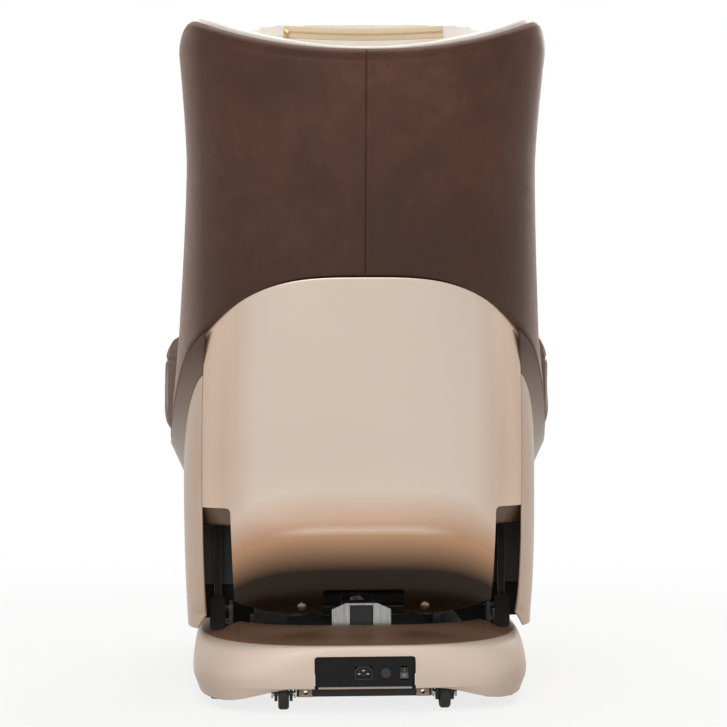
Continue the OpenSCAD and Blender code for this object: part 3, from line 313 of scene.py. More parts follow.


# Painted shade and painted reflection: the mask darkens the deck above the ridge and the ends of the wall; the
# second output paints inward faces near black.
def make_deck_shade():
    tree, b, given, end = effect_group("deck_shade", [
        ("Vector", VECTOR, None), ("Ridge", FLOAT, 0.1042), ("Fade", FLOAT, 0.0010)],
        [("Mask", FLOAT), ("Inside", FLOAT)])
    part = b.parts(given["Vector"])
    past = b.calc("DIVIDE", b.calc("SUBTRACT", part["Z"], given["Ridge"]), given["Fade"], True)
    facing = b.facing()
    deck = b.times(past, b.ranged(b.parts(facing)["Z"], 0.80, 0.95))
    aside = b.ranged(b.size(part["X"]), 0.185, 0.26)
    outer = b.times(aside, b.ranged(part["Y"], 0.24, 0.36, 0.0, 0.14))
    b.join(end["Mask"], b.calc("MAXIMUM", deck, outer))
    outward = b.vector("SUBTRACT", given["Vector"], BASE_MIDDLE)
    b.join(end["Inside"], b.ranged(b.vector("DOT_PRODUCT", facing, outward, "Value"), 0.0, -0.004))
    return tree


def make_pearl():
    tree, b, given, end = effect_group("pearl", [
        ("Vector", VECTOR, None), ("Tone", COLOR, None), ("Copper Shade", COLOR, None), ("Deep Shade", COLOR, None),
        ("Shade", FLOAT, 0.0), ("Highlight Band", FLOAT, 0.0), ("Gloss", FLOAT, 0.32), ("Coat", FLOAT, 0.3)],
        [("Color", COLOR), ("Roughness", FLOAT), ("Height", FLOAT), ("Coat", FLOAT)])
    flake = b.add("TexVoronoi", {"Vector": given["Vector"], "Scale": 5200.0}, feature="F1")
    glint = b.add("SeparateColor", {0: flake.outputs["Color"]}).outputs[0]
    cloud = b.noise(given["Vector"], 7.0, 3.0)
    body = b.blend(b.ranged(cloud, 0.3, 0.7, 0.0, 0.10), given["Tone"], (0.70, 0.60, 0.52, 1.0))
    body = b.blend(b.ranged(glint, 0.0, 1.0, 0.0, 0.10), body, (0.86, 0.78, 0.70, 1.0))
    # Painted shade: the shade value turns the colour to a painted copper, then a deep brown, and thins the
    # coat; the crest input adds a lighter painted highlight band.
    body = b.blend(b.ranged(given["Shade"], 0.0, 0.47), body, given["Copper Shade"])
    body = b.blend(b.times(given["Highlight Band"], 0.4), body, (0.84, 0.74, 0.65, 1.0))
    b.join(end["Color"], b.blend(b.ranged(given["Shade"], 0.505, 0.885), body, given["Deep Shade"]))
    b.join(end["Roughness"], b.calc("ADD", given["Gloss"], b.ranged(cloud, 0.3, 0.7, -0.02, 0.04)))
    b.join(end["Height"], b.noise(given["Vector"], 420.0, 2.0))
    b.join(end["Coat"], b.times(given["Coat"], b.ranged(given["Shade"], 0.2, 0.8, 1.0, 0.1)))
    return tree


HIDE_TONE = make_hide_tone()
HIDE_GRAIN = make_hide_grain()
EDGE_WEAR = make_edge_wear()
SETTLED_DUST = make_settled_dust()
MOULDED_GRAIN = make_moulded_grain()
DRAWN_LINES = make_drawn_lines()
PEARL = make_pearl()
LOWER_SHADE = make_lower_shade()
DECK_SHADE = make_deck_shade()


# ------------------------------------------------------------------ finishes
def new_finish(name):
    material = bpy.data.materials.new(name)
    material.use_nodes = True
    b = Bench(material.node_tree)
    shader = material.node_tree.nodes["Principled BSDF"]
    place = b.add("TexCoord").outputs["Object"]
    return material, b, shader, place


def bumped(b, shader, height, strength, distance):
    bump = b.add("Bump", {"Height": height, "Strength": strength, "Distance": distance})
    b.join(shader.inputs["Normal"], bump.outputs["Normal"])


def hide(name, main, light, dark, blotch, contrast, pebble, crease, bump, sheen=0.0, wear="#8a6f60",
         fall=0.0, rim=0.0):
    """Dyed leather: blotched tone, pebbled grain, creases and rubbed edges, with painted shade lower down and
    a painted highlight near the outer edges when fall and rim are set.
    """
    material, b, shader, place = new_finish(name)
    dye_and_painted_light = b.effect(HIDE_TONE, {"Vector": place, "Tone": tone(main), "Light": tone(light), "Dark": tone(dark),
                               "Blotch Scale": blotch, "Contrast": contrast, "Shade Below": fall, "Rim Highlight": rim})
    rub = b.effect(EDGE_WEAR, {"Vector": place, "Width": 0.004, "Amount": 0.35})
    b.join(shader.inputs["Base Color"], b.blend(rub["Mask"], dye_and_painted_light["Color"], tone(wear)))
    b.join(shader.inputs["Roughness"], dye_and_painted_light["Roughness"])
    for key, value in (("Specular IOR Level", 0.26), ("Sheen Weight", sheen), ("Sheen Roughness", 0.45),
                       ("Sheen Tint", tone("#ffdcc4"))):
        shader.inputs[key].default_value = value
    grain = b.effect(HIDE_GRAIN, {"Vector": place, "Pebble Scale": pebble, "Crease": crease})
    bumped(b, shader, grain["Height"], bump, 0.0006)
    return material


def pearl_paint(name, main, copper, deep, shade, metallic, coat, gloss=0.32):
    """Champagne pearl over moulded plastic, under a clear coat; with a shade group, painted shade and
    reflection deepen it to copper and brown, with a painted highlight band and near-black painted shade on
    inward faces.
    """
    material, b, shader, place = new_finish(name)
    group, inputs = shade
    found = b.effect(group, dict(inputs, Vector=place)) if group else {}
    mask, highlight_band, inside = (found[key] if key in found.keys() else 0.0 for key in ("Mask", "Highlight Band", "Inside"))
    paint = b.effect(PEARL, {"Vector": place, "Tone": tone(main), "Copper Shade": tone(copper), "Deep Shade": tone(deep),
                             "Shade": mask, "Highlight Band": highlight_band, "Gloss": gloss, "Coat": coat})
    dust = b.effect(SETTLED_DUST, {"Vector": place, "Amount": 0.05})
    # Painted shade: inward faces are painted near black.
    body = b.blend(inside, paint["Color"], tone("#17120e"))
    b.join(shader.inputs["Base Color"], b.blend(dust["Mask"], body, tone("#b9aca0")))
    b.join(shader.inputs["Roughness"], paint["Roughness"])
    b.join(shader.inputs["Coat Weight"], paint["Coat"] if group else coat)
    shader.inputs["Metallic"].default_value = metallic
    shader.inputs["Coat Roughness"].default_value = 0.06
    bumped(b, shader, paint["Height"], 0.02, 0.0004)
    return material


def moulded(name, main, scuffed, rough_low, rough_high, scale=1400.0, bump=0.12, wear=0.4, dust=0.12,
            coat=0.0, shine=0.5):
    """Injection moulded plastic or rubber: fine spark texture, scuffed edges, a little dust."""
    material, b, shader, place = new_finish(name)
    grain = b.effect(MOULDED_GRAIN, {"Vector": place, "Scale": scale})
    rub = b.effect(EDGE_WEAR, {"Vector": place, "Width": 0.0012, "Amount": wear})
    film = b.effect(SETTLED_DUST, {"Vector": place, "Amount": dust})
    body = b.blend(b.ranged(grain["Patch"], 0.35, 0.65, 0.0, 0.35), tone(main), tone(scuffed))
    body = b.blend(rub["Mask"], body, tone(scuffed))
    b.join(shader.inputs["Base Color"], b.blend(film["Mask"], body, tone("#8d867d")))
    b.join(shader.inputs["Roughness"], b.ranged(grain["Patch"], 0.3, 0.7, rough_low, rough_high))
    shader.inputs["Coat Weight"].default_value = coat
    shader.inputs["Specular IOR Level"].default_value = shine
    bumped(b, shader, grain["Height"], bump, 0.0004)
    return material


def coated_steel(name, main, chipped, rough=0.42, wear=0.5, scale=1100.0):
    """Powder coated steel: orange peel, chipped to bare metal along its edges."""
    material, b, shader, place = new_finish(name)
    peel = b.effect(MOULDED_GRAIN, {"Vector": place, "Scale": scale})
    chip = b.effect(EDGE_WEAR, {"Vector": place, "Width": 0.001, "Amount": wear})
    film = b.effect(SETTLED_DUST, {"Vector": place, "Amount": 0.08})
    body = b.blend(chip["Mask"], tone(main), tone(chipped))
    b.join(shader.inputs["Base Color"], b.blend(film["Mask"], body, tone("#7d766d")))
    b.join(shader.inputs["Metallic"], b.times(chip["Mask"], 0.8))
    b.join(shader.inputs["Roughness"], b.ranged(peel["Patch"], 0.3, 0.7, rough - 0.05, rough + 0.10))
    bumped(b, shader, peel["Height"], 0.15, 0.0004)
    return material


def bare_metal(name, main, tarnish, stretch, rough_low, rough_high, scale=40.0):
    """Drawn, ground or plated metal with lines along its length."""
    material, b, shader, place = new_finish(name)
    lines = b.effect(DRAWN_LINES, {"Vector": place, "Stretch": stretch, "Scale": scale})
    rub = b.effect(EDGE_WEAR, {"Vector": place, "Width": 0.0008, "Amount": 0.5})
    body = b.blend(b.ranged(lines["Streak"], 0.35, 0.68), tone(main), tone(tarnish))
    b.join(shader.inputs["Base Color"], b.blend(rub["Mask"], body, tone("#dedbd5")))
    b.join(shader.inputs["Roughness"], b.ranged(lines["Streak"], 0.3, 0.7, rough_low, rough_high))
    shader.inputs["Metallic"].default_value = 1.0
    bumped(b, shader, lines["Height"], 0.12, 0.0003)
    return material


ACROSS, LENGTHWISE, UPWARD = (1.0, 30.0, 30.0), (30.0, 1.0, 30.0), (30.0, 30.0, 1.0)
FINISH = {
    # Painted shade lower on the leather and a painted highlight near the body's outer edges.
    "brown_leather": hide("brown_hide", "#4e3023", "#623f2e", "#372119", 6.0, 0.5, 950.0, 0.2, 0.12, 0.14,
                          "#7a5748", fall=0.55, rim=0.5),
    "taupe_leather": hide("taupe_hide", "#76655a", "#8b7b6d", "#5f4f45", 8.0, 0.5, 950.0, 0.2, 0.12, 0.15,
                          "#93857a"),
    "cream_leather": hide("cream_hide", "#efe9e0", "#f7f3ed", "#e4dccf", 8.0, 0.45, 800.0, 0.3, 0.14, 0.10,
                          "#f4efe6"),
    "champagne": pearl_paint("champagne_pearl", "#d6c5b6", "#a97c5c", "#2a1c14", (None, {}), 0.62, 0.30),
    # Painted shade and painted reflection: darker copper to near black towards the tucked-under bottom, copper
    # near the side edges, and a painted highlight band.
    "cover_pearl": pearl_paint("cover_pearl", "#d8c6b6", "#b88e6e", "#2e241b",
                               (LOWER_SHADE, {"Edge Reflection": 0.2}), 0.80, 0.30),
    # Painted shade: a darker, less metallic copy of the champagne pearl for the sides.
    "side_pearl_shaded": pearl_paint("side_pearl_shaded", "#bba08a", "#a97c5c", "#2a1c14", (None, {}), 0.50, 0.15, 0.38),
    # Painted shade and painted reflection: the deck above the ridge goes dark brown, the wall ends take a
    # little copper, and inward faces go near black.
    "base_pearl": pearl_paint("base_pearl", "#d3bfad", "#84624b", "#7a5943",
                              (DECK_SHADE, {}), 0.20, 0.05, 0.52),
    # Painted reflection: the trims and the sill are painted darker towards the top.
    "bronze": pearl_paint("bronze_satin", "#998b80", "#7b675c", "#543f37",
                          (LOWER_SHADE, {"Top": 0.39, "Bottom": 0.60, "Bow": 0.0}), 0.75, 0.10),
    "black_steel": coated_steel("black_powder_coat", "#121212", "#55524f"),
    "khaki_steel": coated_steel("khaki_powder_coat", "#c2ad88", "#d6ccb6", 0.4, 0.4),
    "bright_steel": bare_metal("bright_steel", "#c4c3c0", "#98958f", ACROSS, 0.16, 0.34),
    "zinc_plate": bare_metal("zinc_plate", "#b9bab9", "#8c8a82", UPWARD, 0.26, 0.46, 26.0),
    "dark_zinc": bare_metal("dark_zinc", "#2b2a29", "#1c1b1a", UPWARD, 0.35, 0.5, 26.0),
    "screw_bronze": bare_metal("screw_bronze", "#a48d76", "#7a6552", ACROSS, 0.2, 0.34),
    "supply_case": bare_metal("supply_case", "#b1b3b4", "#8f9191", LENGTHWISE, 0.3, 0.46),
    "black_plastic": moulded("black_moulding", "#1b1b1c", "#343434", 0.38, 0.56),
    "gloss_black": moulded("panel_black", "#0d0d0e", "#121213", 0.28, 0.34, 2400.0, 0.02, 0.1, 0.01,
                           shine=0.22),
    "switch_black": moulded("switch_black", "#202022", "#3a3a3c", 0.28, 0.4, 2000.0, 0.04),
    "white_glide": moulded("white_acetal", "#dedcd5", "#f1efe9", 0.32, 0.45),
    "roller_amber": moulded("amber_roller", "#a8875a", "#c4a878", 0.3, 0.48),
    "grey_plastic": moulded("carriage_grey", "#4a4c50", "#6b6d70", 0.42, 0.6),
    "gold_tape": moulded("zip_tape_weave", "#dcc6a2", "#e8d9bd", 0.6, 0.8, 1600.0, 0.3, 0.2, 0.05),
    "brass": bare_metal("zip_brass", "#c4a274", "#a07c4c", ACROSS, 0.22, 0.4),
    "mark_white": moulded("mark_white", "#d8d8d6", "#c2c2bf", 0.4, 0.6),
    # Painted shade: brown for the shaded inside of the side cut-outs.
    "cutout_shaded_brown": moulded("cutout_shaded_brown", "#634c3b", "#705846", 0.4, 0.55, 1200.0, 0.05, 0.2, 0.0),
    "black_felt": moulded("black_felt", "#120f0d", "#241f1b", 0.85, 0.98, 900.0, 0.4, 0.1, 0.05),
    "black_rubber": moulded("black_rubber", "#191918", "#3b3935", 0.62, 0.82, 700.0, 0.3, 0.5, 0.3),
}


def finish_nodes():
    """The frame, drive and fittings keep their shape and take their finish."""
    worn = {
        "black_steel": ["base_rails", "base_crossbars", "caster_forks", "slide_frame", "chassis_plates",
                        "back_frame", "roller_arms", "link_brackets"],
        "bright_steel": ["slide_rails", "drive_rod", "drive_tube", "tilt_pins", "tub_pins", "caster_axles",
                         "massage_rails", "inlet_pins"],
        "zinc_plate": ["drive_bracket"],
        "dark_zinc": ["link_left", "link_right"],
        "screw_bronze": ["cover_screws"],
        "khaki_steel": ["frame_tabs"],
        "supply_case": ["power_supply"],
        "black_plastic": ["mains_inlet", "fuse_holder", "drive_motor", "seat_tub"],
        "gloss_black": ["power_panel", "switch_bezel"],
        "switch_black": ["power_switch"],
        "white_glide": ["glide_blocks"],
        "roller_amber": [f"roller_{row}_{hand}" for row in ("upper", "lower") for hand in ("left", "right")],
        "grey_plastic": ["massage_carriage"],
        "black_rubber": ["front_feet", "corner_pads", "caster_wheel_left", "caster_wheel_right"],
        "champagne": ["legrest_shell", "foot_shell"],
        "bronze": ["panel_sill"],
    }
    for slot, names in worn.items():
        for name in names:
            for place in NODES[name].material_slots:
                place.material = FINISH[slot]


# ------------------------------------------------------------------ body surface, in millimetres
LEAN = math.tan(math.radians(13))
BODY_HALF, BACK_H, ARM_LOW, ARM_HIGH = 290, 1069, 417, 600
ARM_FRONT, WING_FRONT, ARCH_H, RIM_DIP = 322, 190, 682, 48
SIDE_START, COVER_GAP, COVER_LEVEL = 57, 2.4, 500.0
WALL, EDGE_ROLL = 4, 2.2
LEATHER, LEATHER_ROLL, LEATHER_RUN = 12, 9, 1080


def power(a, p):
    return np.sign(a) * np.abs(a) ** p


def ease(a):
    return a * a * (3 - 2 * a)


def unit(a):
    return np.clip(a, 0, 1)


def sind(a):
    return np.sin(np.radians(a))


def cosd(a):
    return np.cos(np.radians(a))


def between(a, b, t):
    return a + (b - a) * t


def stack(x, y, z):
    return np.stack(np.broadcast_arrays(x, y, z), -1)


def rear_line(z):
    """Rear of the body at height z: leaning back above, tucked under below."""
    z = np.asarray(z, float)
    high = 424 + LEAN * (z - 350)
    middle = 424 + LEAN * np.clip(z - 300, 0, 100) ** 2 / 200
    low = 424 - 115 * (1 - np.sqrt(1 - np.clip((300 - z) / 160, 0, 0.97) ** 2))
    return np.where(z > 400, high, np.where(z > 300, middle, low))


def wing_line(z):
    z = np.asarray(z, float)
    return WING_FRONT + 240 * unit((z - ARM_HIGH) / (BACK_H - ARM_HIGH)) ** 0.9


def shell_half(z):
    z = np.asarray(z, float)
    below = 36 * np.clip((870 - z) / 453, 0, None) ** 1.3
    above = 10 * np.clip((z - 870) / 180, 0, None) ** 1.5 - 0.007 * np.clip(z - BACK_H + 43, 0, None) ** 2
    return BODY_HALF - 12.5 + np.where(z < 870, below, above)


def panel_half(z):
    return BODY_HALF - 4 * ((z - 340) / 190) ** 2


def shell_low(phi):
    return ARCH_H - 140 * np.abs(sind(phi)) ** 2.27 - 122 * np.clip((np.abs(phi) - 60) / 30, 0, None) ** 1.6


def shell_high(phi):
    dip = np.clip(np.abs(sind(phi)) ** (2 / 3) / 0.97, 0, 1)
    return BACK_H + 4 - (RIM_DIP + 4) * (1 - dip ** 2.3) - 38 * np.clip((np.abs(phi) - 72) / 18, 0, None) ** 2


def panel_high(phi):
    return ARM_LOW - 50 + 164 * (1 - unit((np.abs(phi) - SIDE_START) / (90 - SIDE_START)) ** 1.35)


def plan_point(phi, z, half, rear, front):
    x = half * power(sind(phi), 2 / 3)
    y = rear - (rear - front) * (1 - np.abs(cosd(phi)) ** (2 / 3))
    return stack(x, y, z)


def shell_point(phi, z, inset):
    return plan_point(phi, z, shell_half(z) - inset, rear_line(z) - inset, wing_line(z))


def panel_point(phi, z, inset):
    return plan_point(phi, z, panel_half(z) - inset, rear_line(z) - inset, WING_FRONT)


def run_along(line):
    """Length along a line at each of its points."""
    return np.concatenate([[0], np.cumsum(np.linalg.norm(np.diff(line, axis=0), axis=1))])


def even_angles(stations, reach, z=700.0, surface=shell_point):
    """Plan angles from -reach to reach at even steps along the body's outline."""
    w = np.linspace(-1, 1, 6001)
    phi = np.where(np.abs(w) < 0.7, reach * power(w / 0.7, 1.5) * 0.6, 0)
    far = reach * (0.6 + 0.4 * (1 - (1 - (np.abs(w) - 0.7) / 0.3).clip(0, 1) ** 1.5))
    phi = np.where(np.abs(w) < 0.7, phi, np.sign(w) * far)
    run = run_along(surface(phi, z, 0.0))
    return np.interp(np.asarray(stations), run / run[-1], phi)


def stations(count, length, roll, steps=5, extra=()):
    """Places from 0 to 1 along a length: close together over the rolled edges, even between."""
    edge = roll / length * (1 - np.cos(np.linspace(0, np.pi / 2, steps + 1)))
    inner = np.linspace(roll / length, 1 - roll / length, count)
    return np.unique(np.round(np.concatenate([edge, inner, 1 - edge, np.asarray(extra, float)]), 7))


# ------------------------------------------------------------------ mesh making
def face_outward(mesh):
    work = bmesh.new()
    work.from_mesh(mesh)
    bmesh.ops.recalc_face_normals(work, faces=work.faces)
    work.to_mesh(mesh)
    work.free()


def piece(name, points, faces, finish, body, sharp=35, flip_check=True):
    """A new object from points in millimetres, smoothed, finished and riding on its body."""
    mesh = bpy.data.meshes.new(name)
    mesh.from_pydata((np.asarray(points, float).reshape(-1, 3) * MM).tolist(), [], faces)
    if flip_check:
        face_outward(mesh)
    obj = bpy.data.objects.new(name, mesh)
    bpy.context.scene.collection.objects.link(obj)
    dress(obj, finish, body, sharp)
    return obj


def pair(name, points, faces, finish, body, sharp=35):
    """The same piece for the left and, mirrored, for the right."""
    return [piece(f"{name}_{hand}", shape, faces, finish, body, sharp)
            for hand, shape in (("left", points), ("right", mirrored(points)))]


def dress(obj, finish, body, sharp=35):
    mesh = obj.data
    mesh.materials.clear()
    mesh.materials.append(FINISH[finish])
    mesh.shade_smooth()
    if sharp:
        mesh.set_sharp_from_angle(angle=math.radians(sharp))
    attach(obj, body)


def strip(rows, cols, start, looped=False, flip=False):
    faces = []
    last = cols if looped else cols - 1
    for i in range(rows - 1):
        for j in range(last):
            k = (j + 1) % cols
            low, high = start + i * cols, start + (i + 1) * cols
            face = (low + j, low + k, high + k, high + j)
            faces.append(face[::-1] if flip else face)
    return faces


def closed_skin(near, far, looped=False):
    """Points and faces of the closed sheet between two grids."""
    rows, cols = near.shape[:2]
    size = rows * cols
    faces = strip(rows, cols, 0, looped) + strip(rows, cols, size, looped, True)
    last = cols if looped else cols - 1
    for j in range(last):
        k = (j + 1) % cols
        low, high = 0, (rows - 1) * cols
        faces.append((low + k, low + j, size + low + j, size + low + k))
        faces.append((high + j, high + k, size + high + k, size + high + j))
    if not looped:
        for i in range(rows - 1):
            a, b = i * cols, (i + 1) * cols
            faces.append((a, b, size + b, size + a))
            a, b = a + cols - 1, b + cols - 1
            faces.append((b, a, size + a, size + b))
    return np.concatenate([near.reshape(-1, 3), far.reshape(-1, 3)]), faces


def border_distance(grid, sides=True):
    """Distance in millimetres of each grid point from the sheet's nearest border."""
    up = np.concatenate([np.zeros((1, grid.shape[1])),
                         np.cumsum(np.linalg.norm(np.diff(grid, axis=0), axis=2), axis=0)])
    near = np.minimum(up, up[-1] - up)
    if sides:
        along = np.concatenate([np.zeros((grid.shape[0], 1)),
                                np.cumsum(np.linalg.norm(np.diff(grid, axis=1), axis=2), axis=1)], axis=1)
        near = np.minimum(near, np.minimum(along, along[:, -1:] - along))
    return near


def rolled_skin(point, across, upward, thick, roll):
    """Closed sheet of that thickness whose border is rolled over; point(s, t, inset) gives its surface."""
    s, t = np.meshgrid(across, upward)
    away = border_distance(point(s, t, np.zeros_like(s)))
    turn = thick / 2 * (1 - np.sqrt(1 - np.clip(1 - away / roll, 0, 1) ** 2))
    return closed_skin(point(s, t, turn), point(s, t, thick - turn))


def prism(outline, axis, low, high):
    """Cutter: an outline pushed along an axis. The outline lists the other two coordinates."""
    n = len(outline)
    points = []
    for depth in (low, high):
        for a, b in outline:
            points.append({"x": (depth, a, b), "y": (a, depth, b), "z": (a, b, depth)}[axis])
    faces = [tuple(range(n)), tuple(range(2 * n - 1, n - 1, -1))]
    faces += [(k, (k + 1) % n, n + (k + 1) % n, n + k) for k in range(n)]
    return points, faces


def cut(obj, cutters):
    """Cuts the prisms out of a piece."""
    made = []
    for points, faces in cutters:
        mesh = bpy.data.meshes.new("cutter")
        mesh.from_pydata((np.array(points, float) * MM).tolist(), [], faces)
        face_outward(mesh)
        tool = bpy.data.objects.new("cutter", mesh)
        bpy.context.scene.collection.objects.link(tool)
        made.append(tool)
        step = obj.modifiers.new("cut", "BOOLEAN")
        step.operation = "DIFFERENCE"
        step.solver = "MANIFOLD"
        step.object = tool
    settle(obj)
    for tool in made:
        bpy.data.objects.remove(tool)


def settle(obj):
    """Applies every modifier."""
    graph = bpy.context.evaluated_depsgraph_get()
    mesh = bpy.data.meshes.new_from_object(obj.evaluated_get(graph))
    obj.modifiers.clear()
    obj.data = mesh


def rounded(corners, radius, steps=6):
    """Outline with its corners rounded."""
    points = []
    count = len(corners)
    for k in range(count):
        here = Vector(corners[k])
        back = (Vector(corners[k - 1]) - here).normalized()
        ahead = (Vector(corners[(k + 1) % count]) - here).normalized()
        reach = radius / math.tan(max(0.05, back.angle(ahead) / 2))
        for step in range(steps + 1):
            f = step / steps
            a, m, c = here + back * reach, here, here + ahead * reach
            p = a * (1 - f) ** 2 + m * 2 * f * (1 - f) + c * f ** 2
            points.append((p.x, p.y))
    return points


# ------------------------------------------------------------------ moulded skins
ARCH_PHI = np.linspace(0, 75, 400)
ARCH_X = shell_half(shell_low(ARCH_PHI)) * power(sind(ARCH_PHI), 2 / 3)


def arch_line(phi):
    """Top of the rear cover: the leather's lower edge at the same distance from the middle, less a joint."""
    z = shell_low(phi)
    for _ in range(4):
        x = panel_half(z) * np.abs(sind(phi)) ** (2 / 3)
        z = np.interp(x, ARCH_X, shell_low(ARCH_PHI))
    slope = np.gradient(shell_low(ARCH_PHI), np.maximum(ARCH_X, 0.01) + np.arange(400) * 1e-6)
    steep = np.interp(x, ARCH_X, np.clip(np.abs(slope), 0, 2.5))
    return z - 1.5 * np.sqrt(1 + steep ** 2)


def line_arch():
    """Dark felt lip behind the joint between the leather and the rear cover, painted shade that stands for the
    shadow line in the joint.
    """
    across = even_angles(np.linspace(0, 1, 160), SIDE_START + 2, COVER_LEVEL, panel_point)
    s, t = np.meshgrid(across, np.linspace(0, 1, 6))

    def lip(inset):
        low = panel_point(s, arch_line(s) - 12, 4.8 + inset)
        return between(low, shell_point(s, shell_low(s) + 12, 12.8 + inset), t[..., None])

    points, faces = closed_skin(lip(0.0), lip(1.6))
    piece("arch_shadow_lip", points, faces, "black_felt", "body", sharp=0)


DRIVE_NOTCH = ((-65, 90), (65, 90), (65, 190), (-65, 190))
LINK_BAY = ((203, 90), (211, 320), (320, 320), (320, 90))


def mould_rear_cover():
    """Champagne cover under the leather's arch, cut out for the links and the drive bracket."""
    edge = SIDE_START - 0.55
    phi = even_angles(stations(110, 560, EDGE_ROLL), edge, COVER_LEVEL, panel_point)

    def point(s, t, inset):
        z = between(141 + 75 * sind(s) ** 2, arch_line(s), t)
        return panel_point(s, z, inset)

    points, faces = rolled_skin(point, phi, stations(100, 540, EDGE_ROLL), WALL, EDGE_ROLL)
    cover = piece("rear_cover_skin", points, faces, "cover_pearl", "body")
    cutters = [prism(rounded(DRIVE_NOTCH, 7), "y", 200, 480)]
    cutters += [prism(rounded([(side * x, z) for x, z in LINK_BAY], 9), "y", 180, 520) for side in (1, -1)]
    cut(cover, cutters)
    dress(cover, "cover_pearl", "body", sharp=32)
    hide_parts("rear_cover")


def sew_back_leather():
    """Leather covered back shell with its centre seam and padded, rolled rim."""
    def point(s, t, inset):
        z = between(shell_low(s), shell_high(s), t)
        x = 290 * power(sind(s), 2 / 3)
        seam = np.exp(-(x / 1.1) ** 2) * 2.2 - np.exp(-((np.abs(x) - 5) / 4.0) ** 2) * 0.5
        run = unit(t * 60) * unit((1 - t) * 60)
        outer = inset < LEATHER / 2
        down = shell_high(s) - z
        roll = 2.8 * np.exp(-((down - 7.5) / 5) ** 2) - 1.0 * np.exp(-((down - 17) / 2.6) ** 2)
        roll = roll * unit((84 - np.abs(s)) / 20)
        return shell_point(s, z, inset + np.where(outer, seam * run - roll, roll * 0.6))

    seam_side = np.array([0.3, 0.7, 1.1, 1.6, 2.2, 3, 4, 5.5, 7, 9])
    middle = 0.5 + np.concatenate([-seam_side[::-1], [0], seam_side]) / LEATHER_RUN
    phi = even_angles(stations(190, LEATHER_RUN, LEATHER_ROLL, 7, middle), 90)
    points, faces = rolled_skin(point, phi, stations(110, 420, LEATHER_ROLL, 7), LEATHER, LEATHER_ROLL)
    back = piece("back_leather", points, faces, "brown_leather", "body", sharp=0)
    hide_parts("back_shell")


def line_rim():
    """Cream lining inside the shell, rolled a little above its rim."""
    def point(s, t, inset):
        top = shell_high(s) + 8.0 - 3.0 * unit((20 - np.abs(s)) / 20)
        z = between(shell_high(s) - 70, top, t)
        return shell_point(s, z, 12.4 + inset)

    across = even_angles(stations(160, LEATHER_RUN, LEATHER_ROLL, 7), 88)
    points, faces = rolled_skin(point, across, stations(30, 76, 5, 6), 11, 5)
    lining = piece("rim_lining", points, faces, "cream_leather", "body", sharp=0)


def line_cutouts():
    """Dark returns behind the top of each side cut-out, painted brown as the shade inside it, skirts below the
    seat and guards behind the links.
    """
    x, t = np.meshgrid(np.linspace(200, 283, 30), np.linspace(0, 1, 8))
    phi = np.degrees(np.arcsin(np.clip(x / 286, 0, 0.985) ** 1.5))
    high = panel_point(phi, 324.0, 5.0)
    low = panel_point(phi, 291.0, 20.0)
    near = between(high, low, t[..., None])
    far = near + np.array([0.0, -1.6, 0.6])
    points, faces = closed_skin(near, far)
    pair("cutout_shaded_return", points, faces, "cutout_shaded_brown", "body", sharp=0)
    x, t = np.meshgrid(np.linspace(196, 283, 24), np.linspace(0, 1, 14))
    drop = 126 + 20 * unit((240 - x) / 8) + 6 * unit((x - 260) / 22) ** 2
    near = stack(x, 197.0 - 4 * t, between(drop, 190, t))
    points, faces = closed_skin(near, near + np.array([0.0, -2.0, 0.0]))
    pair("seat_skirt", points, faces, "black_felt", "body", sharp=0)
    outline = rounded([(222, 112), (247, 112), (247, 166), (222, 166)], 7)
    points, faces = prism(outline, "y", 245.5, 248.5)
    pair("link_guard", points, faces, "black_felt", "base", sharp=30)


def panel_run(k):
    """Column k of a side panel: 0 at its rear edge, 9 at the widest point, 15 at its front."""
    return np.where(k <= 9, between(SIDE_START, 90, unit(k / 9)), 90.0)


def panel_column(k, z, inset):
    phi = panel_run(k)
    curve = panel_point(phi, z, inset)
    straight = stack(panel_half(z) - inset, between(WING_FRONT, -306, unit((k - 9) / 6)), z)
    return np.where((k <= 9)[..., None], curve, straight)


def panel_top(k):
    return np.where(k < 9, panel_high(panel_run(k)), ARM_LOW - 50.0)


def panel_base(k):
    rear = between(140, 117, unit(k / 2.5))
    return np.where(k <= 9, rear, between(117, 214, ease(unit((k - 9) / 6))))


def mirrored(points):
    return np.asarray(points) * np.array([-1, 1, 1])


def even_columns(count):
    """Columns of a side panel at even steps round the corner and forward."""
    k = np.concatenate([9 * (1 - (1 - np.linspace(0, 1, 600)) ** 1.5), np.linspace(9, 15, 400)[1:]])
    run = run_along(panel_column(k, 340.0, 0.0))
    return np.interp(stations(count, run[-1], 2.5), run / run[-1], k)


def mould_side_panels():
    def point(k, t, inset):
        return panel_column(k, between(panel_base(k), panel_top(k), t), inset)

    points, faces = rolled_skin(point, even_columns(110), stations(50, 300, EDGE_ROLL), WALL, EDGE_ROLL)
    # Painted shade: the side panels take the darker copy of the champagne pearl.
    left, right = pair("side_panel_skin", points, faces, "side_pearl_shaded", "body")
    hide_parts("side_panel_left")
    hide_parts("side_panel_right")


def mould_side_trims():
    """Bronze shoulder between the leather or armrest and the side panel."""
    def point(k, t, inset):
        phi = panel_run(k)
        phi = phi - 6.0 * (1 - unit(k / 5))
        up = shell_low(phi) - COVER_GAP
        low = panel_top(k) + 0.6
        z = ARM_LOW - COVER_GAP + 3
        y = panel_column(k, np.full_like(k, 300.0), np.zeros_like(k))[..., 1]
        forward = stack(shell_half(ARM_LOW + 3) - inset - 1, y, z)
        a = np.where((k <= 9)[..., None], shell_point(phi, up, inset + 1), forward)
        b = panel_column(k, low, inset + 0.6)
        return between(b, a, t[..., None])

    points, faces = rolled_skin(point, even_columns(110), stations(16, 60, EDGE_ROLL), WALL, EDGE_ROLL)
    left, right = pair("side_trim_skin", points, faces, "bronze", "body")
    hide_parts("side_trim_left")
    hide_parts("side_trim_right")


BASE_AXIS, RIDGE_Z = 40, 104.6
